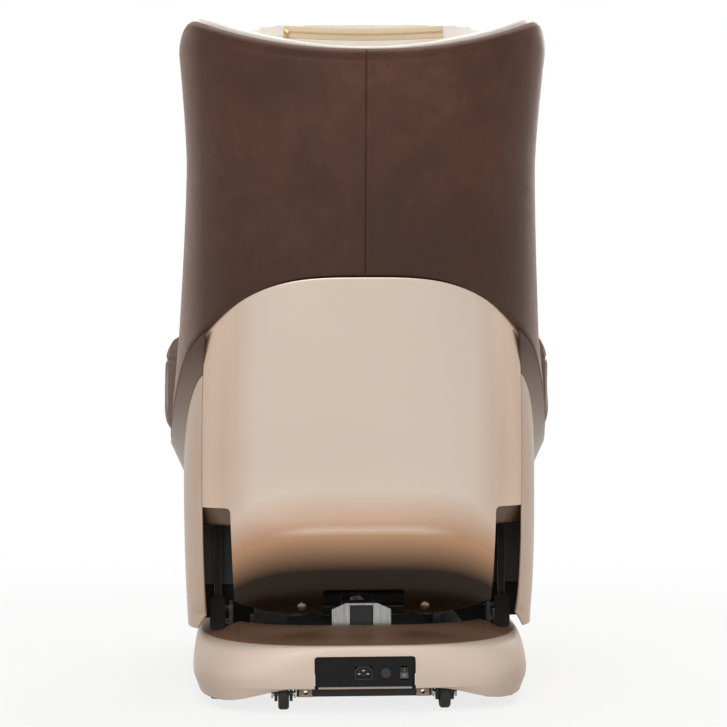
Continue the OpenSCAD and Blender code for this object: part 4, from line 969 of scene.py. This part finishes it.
# half width, rear, front, roundness, height, and 1 where the skirt's own height holds
BASE_ROWS = [
    [233, 306, 254, 3, 116, 0], [234, 308, 255, 3, 124, 0], [250, 361, 276, 3, 113.74, 0],
    [266, 414.5, 296, 3, 104.6, 0], [268.6, 419, 298.6, 3.15, 102.6, 0], [272, 421.4, 301, 3.6, 94, 0],
    [277, 423, 303, 4.5, 59.85, 0], [276.5, 422, 302, 4.5, 37.8, 0], [268, 416, 297, 4.5, 0, 1]]


def row_gap(a, b):
    """Distance between two rows in profile; rows on the skirt stand a fixed step apart."""
    return 24.0 if a[5] or b[5] else max(1e-3, float(np.hypot(a[1] - b[1], a[4] - b[4])))


def smooth_rows(rows, fine):
    """Rows between the given ones, on a curve through them."""
    rows = np.array(rows, float)
    out = []
    for t in fine:
        i = min(int(t), len(rows) - 2)
        f = t - i
        p0, p1, p2, p3 = rows[max(i - 1, 0)], rows[i], rows[i + 1], rows[min(i + 2, len(rows) - 1)]
        d0, d1, d2 = (row_gap(a, b) ** 0.5 for a, b in ((p0, p1), (p1, p2), (p2, p3)))
        leave, arrive = p2 - p1, p2 - p1
        if i > 0:
            leave = d1 * ((p1 - p0) / d0 - (p2 - p0) / (d0 + d1) + (p2 - p1) / d1)
        if i < len(rows) - 2:
            arrive = d1 * ((p2 - p1) / d1 - (p3 - p1) / (d1 + d2) + (p3 - p2) / d2)
        h = (2 * f ** 3 - 3 * f ** 2 + 1, f ** 3 - 2 * f ** 2 + f, -2 * f ** 3 + 3 * f ** 2, f ** 3 - f ** 2)
        out.append(h[0] * p1 + h[1] * leave + h[2] * p2 + h[3] * arrive)
    return np.array(out)


def base_plan(row, a, inset=0.0):
    """Plan of the base at angle a, 0 at the rear."""
    half, rear, front = row[0] - inset, row[1] - inset, row[2] - inset
    back = np.cos(a) > 0
    share = np.where(back, 2 / row[3], 2 / 7)
    reach = np.abs(np.cos(a)) ** share
    y = BASE_AXIS + np.where(back, (rear - BASE_AXIS) * reach, -(front + BASE_AXIS) * reach)
    return half * power(np.sin(a), share), y


def skirt_z(x):
    return between(36.5, 15, ease(unit((np.abs(x) - 110) / 120)))


PANEL_RECESS = ((-79.5, 34), (79.5, 34), (79.5, 88), (-79.5, 88))
LINK_SLOT = ((194, 198), (222, 198), (222, 244), (194, 244))


def mould_base():
    """Base moulding: sloped deck, crisp ridge, bulging wall and a skirt that lifts at the rear."""
    fine = np.concatenate([np.linspace(0, 1, 4), np.linspace(1, 2.7, 12)[1:], np.linspace(2.7, 4.4, 22)[1:],
                           np.linspace(4.4, 8, 26)[1:]])
    rows = smooth_rows(BASE_ROWS, fine)
    a = np.linspace(-np.pi, np.pi, 4001)
    run = run_along(np.stack(base_plan(BASE_ROWS[5], a), -1))
    angles = np.interp(np.linspace(0, 1, 361)[:-1], run / run[-1], a)

    def grid(inset):
        out = []
        for row in rows:
            px, py = base_plan(row, angles, inset)
            share = unit(row[5])
            deck = row[4] - inset * unit((row[4] - 99) / 6)
            height = between(37.8, skirt_z(px), share) if share > 0 else np.full_like(px, deck)
            out.append(stack(px, py, height))
        return np.array(out)

    points, faces = closed_skin(grid(0.0), grid(4.0), True)
    base = piece("base_moulding", points, faces, "base_pearl", "base")
    cutters = [prism(rounded(PANEL_RECESS, 6), "y", 404, 452)]
    cutters += [prism([(side * x, y) for x, y in LINK_SLOT], "z", 99, 139) for side in (1, -1)]
    cut(base, cutters)
    dress(base, "base_pearl", "base", sharp=32)
    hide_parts("base_shell")


# ------------------------------------------------------------------ upholstery
def crown(u, v):
    return np.sqrt(unit(1 - u ** 4) * unit(1 - v ** 4))


def groove(a, centre, width):
    return np.exp(-((a - centre) / width) ** 2)


def channels(u, count, width):
    return np.max([groove(u, 2 * k / count - 1, width) for k in range(1, count)], axis=0)


def cushion_form(place, top, under, columns=64, rows=64, corner=0.10):
    """Closed crowned form over a panel whose corners are eased; place(u, v, height) puts a point on it."""
    u, v = np.meshgrid(sind(np.linspace(-90, 90, columns)), sind(np.linspace(-90, 90, rows)))
    tall, flat = top(u, v), under(u, v)
    eased_u, eased_v = u * np.sqrt(1 - corner * v ** 4), v * np.sqrt(1 - corner * u ** 4)
    return closed_skin(place(eased_u, eased_v, tall), place(eased_u, eased_v, flat))


def spots(mesh, kind="co"):
    out = np.empty(len(mesh.vertices) * 3)
    if kind == "co":
        mesh.vertices.foreach_get("co", out)
    else:
        mesh.vertex_normals.foreach_get("vector", out)
    return out.reshape(-1, 3)


def shift(mesh, points):
    mesh.vertices.foreach_set("co", np.ascontiguousarray(points).ravel())
    mesh.update()


def swell(obj, voxel, reach, shrink=2.0, pressure=4.0):
    """Remeshes a pad, then air pressure fills it, no point moving further than reach. Millimetres."""
    step = obj.modifiers.new("remesh", "REMESH")
    step.mode = "VOXEL"
    step.voxel_size = voxel * MM
    settle(obj)
    mesh = obj.data
    shift(mesh, spots(mesh) - spots(mesh, "normal") * shrink * MM)
    rest = spots(mesh)
    air = obj.modifiers.new("air", "CLOTH")
    air.settings.use_pressure = True
    air.settings.uniform_pressure_force = pressure
    air.settings.effector_weights.gravity = 0.0
    air.settings.quality = 5
    for number in range(1, 21):
        bpy.context.scene.frame_set(number)
    filled = obj.evaluated_get(bpy.context.evaluated_depsgraph_get())
    move = spots(filled.data) - rest
    obj.modifiers.clear()
    bpy.context.scene.frame_set(1)
    far = np.linalg.norm(move, axis=1, keepdims=True)
    shift(mesh, rest + move * np.minimum(1, reach * MM / np.maximum(far, 1e-9)))
    step = obj.modifiers.new("smooth", "SUBSURF")
    step.levels = 1
    settle(obj)


def press(obj, depth_at):
    """Draws sewn lines into a pad: depth_at(points, normals) is how deep, in millimetres."""
    mesh = obj.data
    points, normals = spots(mesh), spots(mesh, "normal")
    shift(mesh, points - normals * (depth_at(points / MM, normals) * MM)[:, None])


def both_hands(name, form, finish, body, node, work):
    """Makes a pad for the left, works it, and copies it mirrored for the right."""
    points, faces = form
    left = piece(name + "_left", points, faces, finish, body, sharp=0)
    work(left)
    dress(left, finish, body, sharp=0)
    mesh = left.data
    faces = [tuple(reversed(polygon.vertices)) for polygon in mesh.polygons]
    shape = mirrored(spots(mesh) / MM)
    right = piece(name + "_right", shape, faces, finish, body, sharp=0, flip_check=False)
    for hand, pad in (("_left", left), ("_right", right)):
        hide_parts(node if node in NODES else node + hand)
    return left, right


def tube(points, radius, sides=8, closed=True):
    """Points and faces of a round cord along a path, in millimetres."""
    path = np.asarray(points, float)
    count = len(path)
    ahead = np.roll(path, -1, 0) - np.roll(path, 1, 0)
    if not closed:
        ahead[0], ahead[-1] = path[1] - path[0], path[-1] - path[-2]
    ahead /= np.linalg.norm(ahead, axis=1, keepdims=True)
    side = np.cross(ahead, [0.3, 0.2, 0.93])
    side /= np.linalg.norm(side, axis=1, keepdims=True)
    over = np.cross(side, ahead)
    a = np.linspace(0, 2 * np.pi, sides, endpoint=False)
    across, up = np.cos(a)[None, :, None] * side[:, None], np.sin(a)[None, :, None] * over[:, None]
    rings = path[:, None] + radius * (across + up)
    faces = strip(count, sides, 0, True)
    if closed:
        last = (count - 1) * sides
        faces += [(last + j, last + (j + 1) % sides, (j + 1) % sides, j) for j in range(sides)]
    else:
        faces += [tuple(range(sides)), tuple(range((count - 1) * sides, count * sides))]
    return rings.reshape(-1, 3), faces


def panel_edge(place, height, size=1.0, corner=0.10, count=220):
    """Closed path along the border of a cushion's panel."""
    a = np.linspace(0, 2 * np.pi, count, endpoint=False)
    u, v = power(np.cos(a), 0.16) * size, power(np.sin(a), 0.16) * size
    return place(u * np.sqrt(1 - corner * v ** 4), v * np.sqrt(1 - corner * u ** 4), height(u, v))


def resting_place(pad):
    """Where straight lines land on a pad: land(start, along) in millimetres, or None."""
    faces = [tuple(polygon.vertices) for polygon in pad.data.polygons]
    tree = BVHTree.FromPolygons([tuple(p) for p in spots(pad.data)], faces)

    def land(start, along):
        hit = tree.ray_cast(Vector(start) * MM, Vector(along).normalized())
        return None if hit[0] is None else (np.array(hit[0]) / MM, np.array(hit[1]))
    return land


def stuff_arm_pads():
    """Armrest pads: nose at the front, dipping to the rear, sewn round the outer edge."""
    def nose_at(y):
        return np.sqrt(np.maximum(0.02, 1 - (1 - unit((y + ARM_FRONT) / 120)) ** 2.4))

    count, sides = 70, 56
    y = -ARM_FRONT + 511 * (1 - np.cos(np.linspace(0, np.pi, count))) / 2
    nose = nose_at(y)
    high = between(504, 602, nose) - 14 * unit((190 - y) / 500)
    out = 320 + 3 * nose
    a = np.linspace(0, 2 * np.pi, sides, endpoint=False)
    c, s = power(np.cos(a), 0.5), power(np.sin(a), 0.42)
    mid, half = (214 + out) / 2, (out - 214) / 2
    x = mid[:, None] + half[:, None] * c - np.where((s > 0) & (c > 0), 4 * s * c, 0)
    centre, tall = (421 + high) / 2, (high - 421) / 2
    z = centre[:, None] + tall[:, None] * s + np.where((s < 0) & (c > 0), -2.4 * c * s, 0)
    rings = stack(x, y[:, None], z)
    faces = strip(count, sides, 0, True)
    faces += [tuple(range(sides)), tuple(range((count - 1) * sides, count * sides))]

    def work(pad):
        swell(pad, 4.5, 3.2, 2.6, 5.0)

        def depth(p, n):
            level = between(504, 602, nose_at(p[:, 1])) - 46
            seam = groove(p[:, 2], level, 3.2) * (unit(n[:, 0] * 3) + unit(-n[:, 0] * 3)) * 2.6
            return seam + groove(p[:, 1], -196, 4.0) * unit(n[:, 2] * 4) * 2.4
        press(pad, depth)

    form = (rings.reshape(-1, 3), faces)
    both_hands("arm_pad_leather", form, "taupe_leather", "body", "arm_pad", work)


def cover_arm_cores():
    """Leather covered blocks under the armrest pads."""
    r = 26
    turn = np.radians(np.linspace(180, 270, 9))
    outline = [(-308 + r + r * math.cos(a), 328.4 + r + r * math.sin(a)) for a in turn]
    outline += [(182 - 5, 328.4), (182, 333.4), (182, 415.6), (177, 420.6), (-303, 420.6), (-308, 415.6)]
    points = []
    n = len(outline)
    middle = np.mean(outline, axis=0)
    steps = [(214.0, 5.0), (214.6, 2.4), (216.2, 0.8), (219.0, 0.0)]
    steps += [(495.0 - x, inset) for x, inset in reversed(steps)]
    for x, inset in steps:
        for p in outline:
            pull = (middle - p) / np.linalg.norm(middle - p) * inset
            points.append((x, p[0] + pull[0], p[1] + pull[1]))
    faces = strip(len(steps), n, 0, True)
    faces += [tuple(range(n)), tuple(range((len(steps) - 1) * n, len(steps) * n))]
    for core in pair("arm_core_leather", np.array(points), faces, "brown_leather", "body", sharp=50):
        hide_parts("arm_cores")


def drawn_in(u, v, pull):
    """How far a side is drawn in between its corners."""
    return u * (1 - pull * (1 - v * v))


def sew_arm_liners():
    """Sewn cream panels on the inner sides of the armrests."""
    def place(u, v, h):
        return stack(213.6 - h, -74 + 226 * drawn_in(u, v, 0.02), 512 + 62 * drawn_in(v, u, 0.03))

    def under(u, v):
        return 4 + 11 * crown(u, v) - 5 * groove(u, 0, 0.03) * crown(u, v)

    form = cushion_form(place, lambda u, v: 0 * u, under, 120, 60)
    both_hands("arm_liner_leather", form, "cream_leather", "body", "arm_liners", lambda pad: None)


SEAT_WIDE, SEAT_DEEP, SEAT_MID = 203, 275, -43
PAD_WIDE, PAD_TALL, PAD_MID = 209, 301.5, 751.5
PILLOW_WIDE, PILLOW_TALL, PILLOW_MID = 150, 88, 918


def stuff_seat():
    """Seat cushion: four sewn channels, waterfall front, piping round its top edge."""
    def drop(v):
        return np.where(v < -0.4, 20 * ((-v - 0.4) / 0.6) ** 2, 0)

    def place(u, v, h):
        y = SEAT_MID + SEAT_DEEP * drawn_in(v, u, 0.02)
        return stack(SEAT_WIDE * drawn_in(u, v, 0.02), y, 342 + h - drop(v))

    points, faces = cushion_form(place, lambda u, v: 44 + 52 * crown(u, v),
                                 lambda u, v: drop(v) + 6 * (1 - crown(u, v)), 70, 90)
    seat = piece("seat_leather", points, faces, "cream_leather", "body", sharp=0)
    swell(seat, 5.5, 8.0, 5.0)

    def depth(p, n):
        v = (p[:, 1] - SEAT_MID) / SEAT_DEEP
        inside = unit(n[:, 2] * 2) * unit((0.93 - np.abs(p[:, 0] / SEAT_WIDE)) * 9)
        return inside * (7.0 * channels(v, 4, 0.022) + 0.9 * channels(v, 4, 0.05))
    press(seat, depth)
    dress(seat, "cream_leather", "body", sharp=0)
    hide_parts("seat_cushion")
    edge = panel_edge(place, lambda u, v: 45 + 0 * u, 1.002)
    points, faces = tube(edge, 3.0, 10)
    piece("seat_piping", points, faces, "brown_leather", "body", sharp=0)


def pad_face(u, v):
    """Front of the back pad, crowned."""
    z = PAD_MID + PAD_TALL * v
    rear = shell_rear(u * PAD_WIDE, z)
    front = 215 + 195 * (np.maximum(0, z - 440) / 610) ** 1.08
    return rear - 14 - (rear - front - 14) * crown(u, v)


def shell_rear(x, z):
    """Back of the pad: clear of the massage works below, against the shell above."""
    reach = np.minimum(0.99, np.abs(x) / (shell_half(z) - 12))
    inside = rear_line(z) - 12 - (rear_line(z) - wing_line(z)) * (1 - (1 - reach ** 3) ** (1 / 3))
    return between(rear_line(z) - 143, inside - 3, unit((z - 988) / 26))


def stuff_back_pad():
    """Back pad: four upright sewn channels, rolled over the shell at the top."""
    def place(u, v, h):
        dome = 13 * ease(unit((v - 0.82) / 0.18)) * (1 - 0.35 * u * u)
        return stack(PAD_WIDE * drawn_in(u, v, 0.03), h, PAD_MID + PAD_TALL * v + dome)

    def back(u, v):
        return shell_rear(u * PAD_WIDE, PAD_MID + PAD_TALL * v) - 2 + 2 * crown(u, v)

    points, faces = cushion_form(place, pad_face, back, 70, 100, 0.03)
    pad = piece("back_pad_leather", points, faces, "cream_leather", "body", sharp=0)
    swell(pad, 5.5, 6.0, 3.5)

    def depth(p, n):
        u = p[:, 0] / PAD_WIDE
        v = (p[:, 2] - PAD_MID) / PAD_TALL
        line = 7.0 * channels(u, 4, 0.03) + 0.9 * channels(u, 4, 0.075)
        cross = 6.0 * (groove(v, -0.30, 0.022) + groove(v, 0.22, 0.022)) * unit((0.5 - np.abs(u)) * 40)
        return unit(-n[:, 1] * 2) * unit((0.93 - np.abs(v)) * 9) * np.maximum(line, cross)
    press(pad, depth)
    dress(pad, "cream_leather", "body", sharp=0)
    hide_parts("back_pad")
    return pad


def stuff_head_pillow():
    """Head pillow lying on the pad's face, with one sewn line and piping."""
    def rest(u, v):
        return pad_face(u * PILLOW_WIDE / PAD_WIDE, (PILLOW_MID + PILLOW_TALL * v - PAD_MID) / PAD_TALL)

    def place(u, v, h):
        return stack(PILLOW_WIDE * drawn_in(u, v, 0.04), h, PILLOW_MID + PILLOW_TALL * v)

    points, faces = cushion_form(place, lambda u, v: rest(u, v) - 14 - 38 * crown(u, v),
                                 lambda u, v: rest(u, v) - 4, 60, 50, 0.12)
    pillow = piece("head_pillow_leather", points, faces, "cream_leather", "body", sharp=0)
    swell(pillow, 4.0, 8.0, 3.0)

    def depth(p, n):
        line = groove(p[:, 2], PILLOW_MID, 4.0) * unit((138 - np.abs(p[:, 0])) / 20)
        return 6.0 * line * unit(-n[:, 1] * 2)
    press(pillow, depth)
    dress(pillow, "cream_leather", "body", sharp=0)
    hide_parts("head_pillow")
    edge = panel_edge(place, lambda u, v: rest(u, v) - 10, 1.0, 0.12)
    points, faces = tube(edge, 2.4, 10)
    piece("pillow_piping", points, faces, "brown_leather", "body", sharp=0)


def sew_wing_pads():
    """Cream pads on the wings, with two sewn lines."""
    def place(u, v, h):
        return shell_point(69 + 17 * u, 809 + 203 * v, 12 + h)

    def top(u, v):
        return 7 + 19 * crown(u, v) - 4 * (groove(v, 0.34, 0.02) + groove(v, -0.34, 0.02)) * crown(u, v)

    form = cushion_form(place, top, lambda u, v: 2 + 0 * u, 60, 130)
    both_hands("wing_pad_leather", form, "cream_leather", "body", "wing_pads", lambda pad: None)


def sew_gussets():
    """Cream side gussets between the back pad and the wings."""
    t, v = np.meshgrid(np.linspace(0, 1, 24), np.linspace(0, 1, 90))
    z = between(520, 985, v)
    inner = stack(196.0, shell_rear(196.0 + 0 * z, z) - 6, z)
    outer = shell_point(64.0, z, 15.0)
    near = between(inner, outer, t[..., None]) - stack(0, 9 * np.sin(np.pi * t), 0 * z)
    points, faces = closed_skin(near, near + np.array([0.0, 3.0, 0.0]))
    for gusset in pair("gusset", points, faces, "cream_leather", "body", sharp=0):
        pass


def channel_pad(at, r, low, high, thick):
    """Form of a curved pad that lines an upright channel."""
    mid, half = (low + high) / 2, (high - low) / 2

    def place(u, v, h):
        return stack(at[0] + (r - h) * sind(82 * u), at[1] + (r - h) * cosd(82 * u), mid + v * half)

    return cushion_form(place, lambda u, v: 5 + (thick - 5) * crown(u, v),
                        lambda u, v: 0.5 + 0 * u, 90, 60, 0.04)


LEG_X, CALF_Y = 108, 454


def stuff_leg_pads():
    """Pads in the calf channels and the foot wells."""
    def calf_work(pad):
        swell(pad, 3.0, 2.6, 1.4)

        def depth(p, n):
            across, along = p[:, 0] - LEG_X, p[:, 1] + CALF_Y
            turn = np.arctan2(across, along) / np.radians(82)
            inner = unit(-(across * n[:, 0] + along * n[:, 1]) / 40)
            return 4.0 * inner * channels(turn, 4, 0.04) * unit((70 - np.abs(p[:, 2] - 261.5)) / 10)
        press(pad, depth)

    def heel_work(pad):
        swell(pad, 2.6, 2.0, 1.2)

    form = channel_pad((LEG_X, -CALF_Y), 77, 181, 342, 16)
    both_hands("calf_pad_leather", form, "cream_leather", "legrest", "calf_pad", calf_work)
    form = channel_pad((LEG_X, -458), 60, 84, 162, 13)
    both_hands("heel_pad_leather", form, "cream_leather", "foot", "foot_pad", heel_work)

    def place(u, v, h):
        return stack(LEG_X + 44 * u, -508.45 + 45.45 * v, 70 + h)

    form = cushion_form(place, lambda u, v: 5 + (7 - 2.5 * channels(v, 3, 0.03)) * crown(u, v),
                        lambda u, v: 0.4 + 0 * u, 60, 70)
    both_hands("sole_pad_leather", form, "cream_leather", "foot", "foot_pad", lambda pad: None)


def sew_zip(pad):
    """Long zip in the rear of the back pad's top edge, sagging a little, with its slider at the left."""
    land = resting_place(pad)
    path, out = [], []
    for x in np.linspace(124, -117, 160):
        z = 1049.5 - 5 * (1 - ((x - 3.5) / 120.5) ** 2)
        hit = land((x, 900, z), (0, -1, 0))
        if hit is None:
            continue
        path.append(hit[0])
        out.append(hit[1])
    path, out = np.array(path), np.array(out)
    smooth = np.ones(9) / 9
    for k in (1, 2):
        path[4:-4, k] = np.convolve(path[:, k], smooth, "valid")
    ahead = np.gradient(path, axis=0)
    ahead /= np.linalg.norm(ahead, axis=1, keepdims=True)
    out = np.tile(out.mean(axis=0), (len(path), 1))
    out /= np.linalg.norm(out, axis=1, keepdims=True)
    over = np.cross(out, ahead)
    over /= np.linalg.norm(over, axis=1, keepdims=True)
    lanes = np.array([-9.4, -8.9, -5.6, -1.8, 0.0, 1.8, 5.6, 8.9, 9.4])
    lift = np.array([0.2, 0.9, 1.0, 1.5, 1.7, 1.5, 1.0, 0.9, 0.2])
    near = path[:, None] + over[:, None] * lanes[None, :, None] + out[:, None] * lift[None, :, None]
    far = near - out[:, None] * 2.2
    points, faces = closed_skin(near, far)
    piece("zip_tape", points, faces, "gold_tape", "body", sharp=0)
    run = run_along(path)
    points, faces = [], []
    for number, at in enumerate(np.arange(2.0, run[-1] - 2.0, 1.5)):
        centre = np.array([np.interp(at, run, path[:, k]) for k in range(3)])
        k = min(int(np.searchsorted(run, at)), len(path) - 1)
        side = 0.55 if number % 2 else -0.55
        base = len(points)
        for a in (-0.5, 0.5):
            for b in (-1.5, 1.5):
                for c in (1.3, 2.6):
                    squeeze = 0.75 if c > 2 else 1.0
                    points.append(centre + ahead[k] * a * squeeze + over[k] * (b * squeeze + side)
                                  + out[k] * c)
        faces += [tuple(base + i for i in q) for q in
                  ((0, 1, 3, 2), (4, 6, 7, 5), (0, 4, 5, 1), (2, 3, 7, 6), (0, 2, 6, 4), (1, 5, 7, 3))]
    piece("zip_teeth", points, faces, "brass", "body", sharp=30)
    at = 3

    def placed(name, outline, low, high):
        n = len(outline)
        layers = ((low, 1.0), (high - 0.5, 1.0), (high, 0.86))
        points = [path[at] + ahead[at] * a + over[at] * b + out[at] * h
                  for h, size in layers for a, b in np.array(outline) * size]
        faces = strip(len(layers), n, 0, True) + [tuple(range(n)), tuple(range(2 * n, 3 * n))]
        piece(name, points, faces, "brass", "body", sharp=40)

    placed("zip_slider", rounded([(-4.2, -3.4), (4.8, -2.4), (4.8, 2.4), (-4.2, 3.4)], 1.8), 1.0, 4.2)
    placed("zip_puller", rounded([(-1.6, -1.5), (1.6, -1.5), (2.6, -15.0), (-2.6, -15.0)], 1.4), 4.4, 5.6)


def lay_deck_seams():
    """Fine dark joint lines across the rear deck of the base."""
    land = resting_place(bpy.data.objects["base_moulding"])
    for hand, x in (("left", 200.0), ("right", -200.0)):
        path = []
        for y in np.linspace(252, 411, 90):
            hit = land((x, y, 400), (0, 0, -1))
            if hit is not None and hit[0][2] > RIDGE_Z:
                path.append(hit[0])
        points, faces = tube(path, 0.4, 8, False)
        piece("deck_seam_" + hand, points, faces, "black_rubber", "base", sharp=0)


def round_over(name, node, finish, body, voxel, passes):
    """A moulding with its edges rounded over, made on its node's own walls."""
    obj = bpy.data.objects.new(name, NODES[node].data.copy())
    bpy.context.scene.collection.objects.link(obj)
    step = obj.modifiers.new("remesh", "REMESH")
    step.mode = "VOXEL"
    step.voxel_size = voxel * MM
    step = obj.modifiers.new("smooth", "SMOOTH")
    step.factor = 0.5
    step.iterations = passes
    settle(obj)
    dress(obj, finish, body, sharp=0)
    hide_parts(node)


def print_switch_marks():
    """I and O on the rocker."""
    low, high = [np.array(corner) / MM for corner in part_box("power_switch")]
    middle = (low + high) / 2
    land = resting_place(NODES["power_switch"])

    def on_face(x, z):
        hit = land((x, high[1] + 30, z), (0, -1, 0))
        return hit[0][1] if hit is not None else high[1]

    step = (high[2] - low[2]) * 0.24
    x = middle[0]
    heights = middle[2] + step + np.linspace(-1.7, 1.7, 8)
    bar = [(x, on_face(x, z) + 0.12, z) for z in heights]
    points, faces = tube(bar, 0.34, 8, False)
    piece("mark_on", points, faces, "mark_white", "rocker", sharp=0)
    ring = []
    for a in np.linspace(0, 2 * np.pi, 28, endpoint=False):
        px, pz = x + 1.5 * math.cos(a), middle[2] - step + 1.9 * math.sin(a)
        ring.append((px, on_face(px, pz) + 0.12, pz))
    points, faces = tube(ring, 0.30, 8)
    piece("mark_off", points, faces, "mark_white", "rocker", sharp=0)


set_up_camera()
set_up_light()
set_up_room()
finish_nodes()
mould_rear_cover()
line_arch()
sew_back_leather()
line_rim()
line_cutouts()
mould_side_panels()
mould_side_trims()
mould_base()
lay_deck_seams()
round_over("legrest_moulding", "legrest_shell", "champagne", "legrest", 2.4, 10)
round_over("foot_moulding", "foot_shell", "champagne", "foot", 2.4, 10)
stuff_arm_pads()
cover_arm_cores()
sew_arm_liners()
stuff_seat()
sew_zip(stuff_back_pad())
stuff_head_pillow()
sew_wing_pads()
sew_gussets()
stuff_leg_pads()
print_switch_marks()
